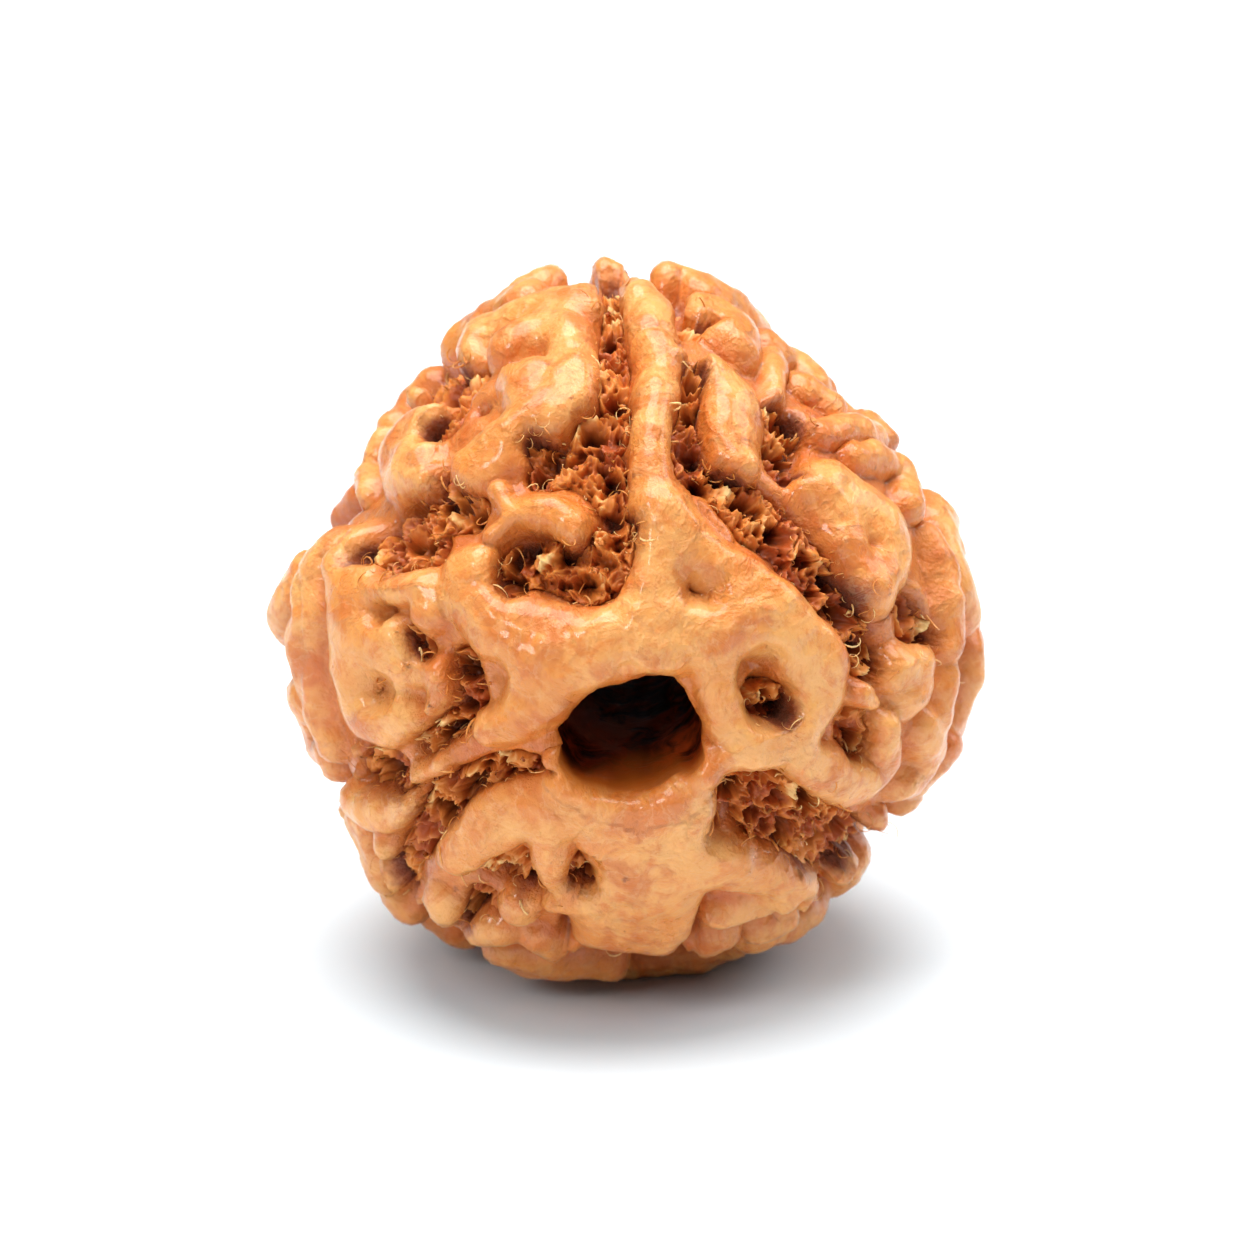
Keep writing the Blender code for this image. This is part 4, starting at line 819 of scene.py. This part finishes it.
# Node trees written as formulas
class Wire:
    # one socket of a tree, with the arithmetic that the masks use
    def __init__(self, tree, socket):
        self.tree, self.socket = tree, socket

    def sum(self, operation, other=None, third=None):
        node = self.tree.nodes.new("ShaderNodeMath")
        node.operation = operation
        for slot, value in zip(node.inputs, (self, other, third)):
            plug(self.tree, slot, value)
        return Wire(self.tree, node.outputs[0])

    def __add__(self, other):
        return self.sum("ADD", other)

    def __sub__(self, other):
        return self.sum("SUBTRACT", other)

    def __rsub__(self, other):
        return (self * -1.0).sum("ADD", other)

    def __mul__(self, other):
        return self.sum("MULTIPLY", other)

    def __truediv__(self, other):
        return self.sum("DIVIDE", other)

    __radd__ = __add__
    __rmul__ = __mul__

    def clipped(self):
        low = self.sum("MAXIMUM", 0.0)
        return low.sum("MINIMUM", 1.0)

    def between(self, low, high):
        # 0 at low and 1 at high, eased
        node = self.tree.nodes.new("ShaderNodeMapRange")
        node.interpolation_type = "SMOOTHSTEP"
        for slot, value in zip(node.inputs, (self, low, high, 0.0, 1.0)):
            plug(self.tree, slot, value)
        return Wire(self.tree, node.outputs[0])


def plug(tree, slot, value):
    if isinstance(value, Wire):
        tree.links.new(value.socket, slot)
    elif value is not None:
        slot.default_value = value


class Nodes:
    # one method makes any node: its type, its settings, then its sockets by name or number
    def __init__(self, tree):
        self.tree = tree
        tree.nodes.clear()

    def make(self, kind, settings=None, sockets=None, out=0):
        node = self.tree.nodes.new(kind)
        for key, value in (settings or {}).items():
            setattr(node, key, value)
        for key, value in (sockets or {}).items():
            plug(self.tree, node.inputs[key], value)
        return Wire(self.tree, node.outputs[out]) if len(node.outputs) else node

    def mix(self, share, first, second):
        sockets = {0: share, 6: first, 7: second}
        return self.make("ShaderNodeMix", {"data_type": "RGBA"}, sockets, out=2)

    def noise(self, place, scale, detail=4.0, rough=0.55, warp=0.0):
        return self.make("ShaderNodeTexNoise", None, {
            "Vector": place, "Scale": scale, "Detail": detail, "Roughness": rough,
            "Distortion": warp})

    def fact(self, name):
        return self.make("ShaderNodeAttribute", {"attribute_name": name}, out=2)


def linear(red, green, blue):
    # a colour as a picture editor shows it, turned into light
    def one(value):
        value /= 255
        return value / 12.92 if value < 0.04045 else ((value + 0.055) / 1.055) ** 2.4
    return (one(red), one(green), one(blue), 1.0)


stoneLook = {
    "cream": linear(240, 173, 98),
    "pale": linear(252, 218, 162),
    "tan": linear(228, 143, 65),
    "honey": linear(218, 114, 32),
    "orange": linear(206, 103, 32),
    "amber": linear(170, 79, 25),
    "rust": linear(142, 66, 25),
    "pitBrown": linear(110, 50, 20),
    # pitDark is painted shade at the bottom of the pits
    "pitDark": linear(52, 21, 9),
    # rimAmber is the bore's lip; the wall darkens past it as painted shade
    "rimAmber": linear(178, 92, 30),
    "boreBrown": linear(168, 66, 22),
    "boreDark": linear(56, 17, 6),
    # boreGlint is a painted reflection on the bore's wall
    "boreGlint": linear(214, 160, 130),
    "boreShine": linear(226, 110, 50),
    "polish": 0.36,
}


def makeStone():
    material = bpy.data.materials.new("waxyStone")
    material.use_nodes = True
    n = Nodes(material.node_tree)
    look = stoneLook
    place = n.make("ShaderNodeTexCoord", out=3)
    rise, hollow, low = n.fact("rise"), n.fact("hollow"), n.fact("low")
    inBore, inside, along = n.fact("bore"), n.fact("inside"), n.fact("along")
    broad = n.noise(place, 210.0, 3.0)
    other = n.noise(place, 330.0, 4.0, 0.6, 0.8)
    mottle = n.noise(place, 950.0, 5.0, 0.62, 0.7)
    fine = n.noise(place, 3200.0, 4.0, 0.65)
    # cream on the crests; orange and amber where the wax's own tone changes at random, and down the ridges'
    # sides as painted shade
    colour = n.mix((broad * 0.6 + mottle * 0.4).between(0.38, 0.58), look["tan"], look["cream"])
    colour = n.mix((other + (mottle - 0.5) * 0.6).between(0.46, 0.66) * 0.75, colour, look["orange"])
    streak = n.noise(place, 520.0, 6.0, 0.70, 2.4)
    colour = n.mix((streak + (fine - 0.5) * 0.1).between(0.47, 0.64) * 0.55, colour, look["honey"])
    # painted shade: orange, then amber, the further down a ridge's side a point lies, standing in for the
    # shade in the valleys
    shadedDown = 1.0 - rise + (mottle - 0.5) * 0.45
    colour = n.mix(shadedDown.between(0.08, 0.55) * 0.60, colour, look["orange"])
    colour = n.mix((shadedDown + (fine - 0.5) * 0.3).between(0.42, 0.88) * 0.85, colour, look["amber"])
    # painted shade: amber in the pressed hollows, stronger the deeper they are
    colour = n.mix((hollow + (mottle - 0.5) * 0.7).between(0.15, 0.85) * 0.75, colour, look["amber"])
    # the pits' rust and brown are the pith's own colour; the darkest step at their bottoms is painted shade
    colour = n.mix((low + (mottle - 0.5) * 0.8).between(0.10, 0.60), colour, look["rust"])
    colour = n.mix((low + (mottle - 0.5) * 0.8).between(0.40, 0.90), colour, look["pitBrown"])
    colour = n.mix((low + (fine - 0.5) * 1.4).between(0.75, 1.2) * 0.8, colour, look["pitDark"])
    colour = n.mix((n.fact("edge") + (mottle - 0.5) * 0.6).between(0.35, 1.0) * 0.45, colour, look["rust"])
    # fine pale wrinkles and brown specks
    ripple = (along * 9.0 + mottle * 16.0 + fine * 6.0).sum("SINE")
    onCrest = rise.between(0.45, 0.85) * other.between(0.36, 0.56)
    threads = n.make("ShaderNodeTexVoronoi", {"feature": "DISTANCE_TO_EDGE"}, {
        "Vector": place, "Scale": 520.0, "Randomness": 1.0})
    scratch = 1.0 - (threads + (mottle - 0.5) * 0.12 + (fine - 0.5) * 0.10).between(0.0, 0.055)
    scratch = scratch * mottle.between(0.45, 0.58)
    colour = n.mix(ripple.between(0.70, 1.0) * onCrest * 0.14, colour, look["pale"])
    colour = n.mix(scratch * 0.08 * (1.0 - low).clipped(), colour, look["pale"])
    specks = n.make("ShaderNodeTexVoronoi", None, {"Vector": place, "Scale": 800.0})
    speckMask = (1.0 - specks.between(0.05, 0.14)) * fine.between(0.50, 0.60)
    colour = n.mix(speckMask * 0.65, colour, look["rust"])
    grain = n.noise(place, 8000.0, 3.0)
    creased = n.make("ShaderNodeTexNoise", {"noise_type": "RIDGED_MULTIFRACTAL"}, {
        "Vector": place, "Scale": 620.0, "Detail": 5.0, "Roughness": 0.62, "Lacunarity": 2.1,
        "Offset": 0.9, "Gain": 1.6, "Distortion": 0.5})
    height = mottle * 0.72 + creased * 0.24 + fine * 0.32 + grain * 0.06 + streak * 0.35
    height = height + ripple * onCrest * 0.012 + other * 0.5 + low * fine + scratch * 0.05
    bump = n.make("ShaderNodeBump", None, {"Height": height, "Strength": 0.85, "Distance": 0.00030})
    rough = look["polish"] + (fine - 0.5) * 0.40 + (mottle - 0.5) * 0.40 + low * 0.30
    wax = n.make("ShaderNodeBsdfPrincipled", None, {
        "Base Color": colour, "Roughness": rough.clipped(), "Normal": bump,
        "IOR": 1.45, "Subsurface Weight": 0.14, "Subsurface Scale": 0.0005,
        "Subsurface Radius": (1.0, 0.45, 0.15), "Specular IOR Level": 0.42,
        "Coat Weight": (1.0 - low).clipped() * 0.50, "Coat Roughness": 0.12})
    # the bore's wall: its own dark and brown tones at random, with pale patches painted as reflections
    boreStainShadeAndGlint = n.mix((mottle * 0.5 + broad * 0.5).between(0.44, 0.58), look["boreDark"], look["boreBrown"])
    boreStainShadeAndGlint = n.mix((broad + (mottle - 0.5) * 0.3).between(0.56, 0.64) * 0.30, boreStainShadeAndGlint, look["boreGlint"])
    # painted shade: the paler rim colour at the lip darkens to the wall's own tones deeper in the bore
    boreStainShadeAndGlint = n.mix((inside + (mottle - 0.5) * 0.9).between(0.0, 1.3), look["rimAmber"], boreStainShadeAndGlint)
    wallBump = n.make("ShaderNodeBump", None, {
        "Height": broad + mottle * 0.4, "Strength": 0.4, "Distance": 0.0004})
    wall = n.make("ShaderNodeBsdfPrincipled", None, {
        "Base Color": boreStainShadeAndGlint, "Roughness": 0.45, "Normal": wallBump, "Specular IOR Level": 0.04,
        "Specular Tint": look["boreShine"]})
    both = n.make("ShaderNodeMixShader", None, {0: inBore, 1: wax, 2: wall})
    n.make("ShaderNodeOutputMaterial", None, {"Surface": both})
    return material


fibreLook = {
    "tip": linear(226, 142, 66),
    "tipPale": linear(250, 208, 138),
    "base": linear(206, 112, 44),
    "red": linear(172, 80, 34),
    # dark is painted shade low in the pores
    "dark": linear(84, 30, 11),
}


def makeFibreLook():
    material = bpy.data.materials.new("tornFibre")
    material.use_nodes = True
    n = Nodes(material.node_tree)
    look = fibreLook
    place = n.make("ShaderNodeTexCoord", out=3)
    tip, shade = n.fact("tip"), n.fact("shade")
    grain = n.noise(place, 2600.0, 4.0)
    colour = n.mix(shade.between(0.2, 0.8), look["red"], look["base"])
    # painted shade: darker low in the pores and at the feet of the strands
    colour = n.mix((1.0 - tip * 1.7).clipped() * 0.9, colour, look["dark"])
    # painted highlight: paler toward the tops of the pith and the tips of the strands, over their random tone
    toTip = (tip + (grain - 0.5) * 0.4 + (shade - 0.5) * 0.4).between(0.45, 0.95)
    colour = n.mix(toTip, colour, look["tip"])
    toPale = (tip + (grain - 0.5) * 0.5 + (shade - 0.6) * 0.8).between(0.85, 1.2)
    colour = n.mix(toPale, colour, look["tipPale"])
    bump = n.make("ShaderNodeBump", None, {"Height": grain, "Strength": 0.5, "Distance": 0.0001})
    shader = n.make("ShaderNodeBsdfPrincipled", None, {
        "Base Color": colour, "Roughness": 0.42, "Normal": bump, "IOR": 1.38,
        "Subsurface Weight": 0.10, "Subsurface Scale": 0.0003, "Subsurface Radius": (1.0, 0.5, 0.15)})
    n.make("ShaderNodeOutputMaterial", None, {"Surface": shader})
    return material


# Loose pieces scattered on the pith and by the pits: how many for each square millimetre,
# their lengths in mm, widths as a share of the length, and how pale they are at the foot, from painted shade
# up to painted highlight
flake = {"shapes": 4, "segments": 5, "perSquare": 5.0, "shortest": 0.16, "longest": 0.46,
         "width": (0.08, 0.26), "thick": 0.04, "curl": (1.5, 4.5), "lean": 1.5, "tone": 0.40,
         "seed": 5}
hair = {"shapes": 4, "segments": 6, "perSquare": 4.4, "shortest": 0.30, "longest": 1.00,
        "width": (0.022, 0.040), "thick": 0.02, "curl": (1.5, 4.5), "lean": 1.5, "tone": 0.95,
        "seed": 8}


def strandShape(kind, index):
    # a curled, ragged shred one unit long, with four sides
    draw = random.Random(kind["seed"] * 31 + index)
    curl, twist = draw.uniform(*kind["curl"]), draw.uniform(-2.2, 2.2)
    width = draw.uniform(*kind["width"])
    points, tips = [], []
    here, heading = np.zeros(3), draw.uniform(-0.4, 0.4)
    count = kind["segments"]
    for k in range(count + 1):
        share = k / count
        left, right = (width * (1 - share ** 3) ** 0.5 * draw.uniform(0.55, 1.3) + 0.008 for _ in range(2))
        across = np.array([math.cos(twist * share), math.sin(twist * share), 0.0])
        facing = np.array([-across[1], across[0], 0.0]) * kind["thick"]
        bow = np.array([0.0, 0.0, 0.25 * width])
        points += [here - across * left, here - facing + bow, here + across * right, here + facing + bow]
        tips += [kind["tone"] + (1 - kind["tone"]) * share] * 4
        heading += curl / count
        here = here + np.array([0.2 * math.sin(heading * 1.7), math.sin(heading), math.cos(heading)]) / count
    faces = []
    for k in range(count):
        for i in range(4):
            j = (i + 1) % 4
            a, b = k * 4 + i, k * 4 + j
            faces += [(a, b, b + 4), (a, b + 4, a + 4)]
    last = count * 4
    faces += [(0, 2, 1), (0, 3, 2), (last, last + 1, last + 2), (last, last + 2, last + 3)]
    return np.array(points), np.array(faces), np.array(tips)


def scatterTree(shapes, where, material):
    # fibres on the hollow parts of a surface, each with its own size, lean and tone
    tree = bpy.data.node_groups.new("scatterStrands", "GeometryNodeTree")
    n = Nodes(tree)
    face = tree.interface
    face.new_socket("Geometry", in_out="INPUT", socket_type="NodeSocketGeometry")
    for name in ("Per Square Metre", "Shortest", "Longest", "Lean"):
        face.new_socket(name, in_out="INPUT", socket_type="NodeSocketFloat")
    face.new_socket("Seed", in_out="INPUT", socket_type="NodeSocketInt")
    face.new_socket("Geometry", in_out="OUTPUT", socket_type="NodeSocketGeometry")
    given = tree.nodes.new("NodeGroupInput")
    ask = {s.name: Wire(tree, s) for s in given.outputs if s.name}
    hollow = n.make("GeometryNodeInputNamedAttribute", {"data_type": "FLOAT"}, {"Name": where})
    spread = tree.nodes.new("GeometryNodeDistributePointsOnFaces")
    plug(tree, spread.inputs["Mesh"], ask["Geometry"])
    plug(tree, spread.inputs["Density"], hollow * ask["Per Square Metre"])
    plug(tree, spread.inputs["Seed"], ask["Seed"])

    def drawn(kind, low, high, extra):
        node = tree.nodes.new("FunctionNodeRandomValue")
        node.data_type = kind
        slots = {"FLOAT": (2, 3), "FLOAT_VECTOR": (0, 1), "INT": (4, 5)}[kind]
        plug(tree, node.inputs[slots[0]], low)
        plug(tree, node.inputs[slots[1]], high)
        plug(tree, node.inputs["Seed"], ask["Seed"] + float(extra))
        return Wire(tree, node.outputs[{"FLOAT": 1, "FLOAT_VECTOR": 0, "INT": 2}[kind]])

    joined = tree.nodes.new("GeometryNodeJoinGeometry")
    for shape in reversed(shapes):
        info = tree.nodes.new("GeometryNodeObjectInfo")
        info.inputs["Object"].default_value = shape
        shown = Wire(tree, info.outputs["Geometry"])
        wrap = n.make("GeometryNodeGeometryToInstance", None, {"Geometry": shown})
        tree.links.new(wrap.socket, joined.inputs[0])
    lean = n.make("ShaderNodeCombineXYZ", None, {0: ask["Lean"], 1: ask["Lean"], 2: 3.1416})
    leanBack = n.make("ShaderNodeVectorMath", {"operation": "SCALE"}, {0: lean, "Scale": -1.0})
    turned = n.make("FunctionNodeEulerToRotation", None, {0: drawn("FLOAT_VECTOR", leanBack, lean, 1)})
    rotation = n.make("FunctionNodeRotateRotation", {"rotation_space": "LOCAL"},
                      {0: Wire(tree, spread.outputs["Rotation"]), 1: turned})
    size = drawn("FLOAT", ask["Shortest"], ask["Longest"], 2)
    placed = n.make("GeometryNodeInstanceOnPoints", None, {
        "Points": Wire(tree, spread.outputs["Points"]), "Instance": Wire(tree, joined.outputs[0]),
        "Pick Instance": True, "Instance Index": drawn("INT", 0, len(shapes) - 1, 3),
        "Rotation": rotation, "Scale": size})
    toned = n.make("GeometryNodeStoreNamedAttribute", {"data_type": "FLOAT", "domain": "INSTANCE"}, {
        "Geometry": placed, "Name": "shade", "Value": drawn("FLOAT", 0.0, 1.0, 4)})
    real = n.make("GeometryNodeRealizeInstances", None, {"Geometry": toned})
    dressed = n.make("GeometryNodeSetMaterial", None, {"Geometry": real, "Material": material})
    n.make("NodeGroupOutput", None, {0: dressed})
    return tree


def makeStrands(name, kind, ground, where, material):
    # strands standing on a mesh, as many as its attribute says
    shapes = []
    for index in range(kind["shapes"]):
        points, faces, tips = strandShape(kind, index)
        shapes.append(meshFrom(f"{name}{index}", points / mm, faces, {"tip": tips}, material))
    holder = bpy.data.objects.new(name, ground.data.copy())
    bpy.context.scene.collection.objects.link(holder)
    modifier = holder.modifiers.new("scatter", "NODES")
    modifier.node_group = scatterTree(shapes, where, material)
    values = {"Per Square Metre": kind["perSquare"] / mm ** 2, "Shortest": kind["shortest"] * mm,
              "Longest": kind["longest"] * mm, "Lean": kind["lean"], "Seed": kind["seed"]}
    for item in modifier.node_group.interface.items_tree:
        if item.item_type == "SOCKET" and item.in_out == "INPUT" and item.name in values:
            modifier[item.identifier] = values[item.name]
    graph = bpy.context.evaluated_depsgraph_get()
    mesh = bpy.data.meshes.new_from_object(holder.evaluated_get(graph))
    mesh.name = name
    holder.modifiers.clear()
    holder.data = mesh
    for shape in shapes:
        bpy.data.objects.remove(shape)
    print(name, "faces:", len(mesh.polygons))
    return holder


# The studio: camera, table and light
def makeCamera():
    right, up, toward = viewAxes()
    lens = shot["sensor"] * shot["distance"] / shot["framed"]
    aim = np.array(body["middle"]) + right * shot["aimRight"] + up * shot["aimUp"]
    camera = bpy.data.objects.new("camera", bpy.data.cameras.new("camera"))
    camera.data.sensor_width = shot["sensor"]
    camera.data.lens = lens
    camera.data.clip_start = 0.01
    camera.data.dof.use_dof = True
    camera.data.dof.focus_distance = (shot["distance"] - shot["sharpNearer"]) * mm
    camera.data.dof.aperture_fstop = shot["stop"]
    camera.location = (aim + toward * shot["distance"]) * mm
    camera.rotation_euler = (math.radians(90 - shot["tilt"]), 0, 0)
    bpy.context.scene.collection.objects.link(camera)
    bpy.context.scene.camera = camera


table = {
    "half": 2500.0,
    "below": 0.02,           # mm under the bead's foot
    "white": (0.80, 0.83, 0.87, 1.0),
    "contact": (1.8, 6.8),   # mm from the middle of the footprint over which the painted contact shadow ends
    "contactShadowTone": (0.24, 0.26, 0.28, 1.0),
    "lift": 0.26,            # painted glow, seen only by the camera, that takes the bead's warm bounce off the shadow
    "liftFrom": (3.5, 10.0),
    "liftTone": (0.52, 0.87, 1.0, 1.0),
}


def makeTable():
    half, level = table["half"], -table["below"]
    corners = ((-half, -half), (half, -half), (half, half), (-half, half))
    points = np.array([(x, y, level) for x, y in corners])
    material = bpy.data.materials.new("whiteTable")
    material.use_nodes = True
    n = Nodes(material.node_tree)
    place = n.make("ShaderNodeTexCoord", out=3)
    reach = n.make("ShaderNodeVectorMath", {"operation": "LENGTH"}, {0: place}, out=1) / mm
    # painted contact shadow: the table's colour darkens toward the bead's footprint
    shade = reach.between(*table["contact"])
    # painted light: a glow seen only by the camera lifts the shadow's outer part
    seenOnly = n.make("ShaderNodeLightPath")
    shader = n.make("ShaderNodeBsdfPrincipled", None, {
        "Base Color": n.mix(shade, table["contactShadowTone"], table["white"]), "Roughness": 0.9,
        "Specular IOR Level": 0.1, "Emission Color": table["liftTone"],
        "Emission Strength": seenOnly * reach.between(*table["liftFrom"]) * table["lift"]})
    n.make("ShaderNodeOutputMaterial", None, {"Surface": shader})
    top = meshFrom("tableTop", points, np.array([(0, 1, 2, 3)]), {}, material)


# name: place, size and power of each soft light; all face the bead
lights = {
    "overhead": {"at": (-10.0, 40.0, 420.0), "size": 460.0, "watts": 3.52, "tint": (1.0, 0.985, 0.96)},
    "leftFront": {"at": (-230.0, -290.0, 250.0), "size": 120.0, "watts": 0.50, "tint": (1.0, 0.99, 0.97)},
    "rightBack": {"at": (280.0, 120.0, 200.0), "size": 200.0, "watts": 0.35, "tint": (1.0, 0.99, 0.98)},
}


sky = {"tint": (1.0, 0.995, 0.985, 1.0), "strength": 0.18}


def makeLights():
    target = np.array(body["middle"])
    for name, light in lights.items():
        lamp = bpy.data.lights.new(name, "AREA")
        lamp.shape = "DISK"
        lamp.size = light["size"] * mm
        lamp.energy = light["watts"]
        lamp.color = light["tint"]
        holder = bpy.data.objects.new(name, lamp)
        holder.location = np.array(light["at"]) * mm
        away = unit(np.array(light["at"]) - target)
        tilt = math.acos(away[2])
        holder.rotation_euler = (tilt, 0, math.atan2(away[1], away[0]) + math.pi / 2)
        bpy.context.scene.collection.objects.link(holder)
    world = bpy.data.worlds.new("studio")
    world.use_nodes = True
    n = Nodes(world.node_tree)
    glow = n.make("ShaderNodeBackground", None, {"Color": sky["tint"], "Strength": sky["strength"]})
    n.make("ShaderNodeOutputWorld", None, {"Surface": glow})
    bpy.context.scene.world = world
    bpy.context.scene.view_settings.view_transform = "Standard"


makeCamera()
makeTable()
makeLights()
print("stage set")
skin, base = makeSkin(makeStone())
print("skin faces:", len(skin.data.polygons))
fibreFinish = makeFibreLook()
pithFront = makeTissue("pithFront", base, lambda middle: middle[:, 1] < -0.1, fibreFinish)
pithBack = makeTissue("pithBack", base, lambda middle: middle[:, 1] >= -0.1, fibreFinish)
dressing = [
    pithFront,
    pithBack,
    makeStrands("flakesFront", flake, pithFront, "torn", fibreFinish),
    makeStrands("flakesBack", flake, pithBack, "torn", fibreFinish),
    makeStrands("paleHairs", hair, skin, "fibrous", fibreFinish),
]
for piece in [skin] + dressing:
    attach(piece, "root")
    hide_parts("bead")
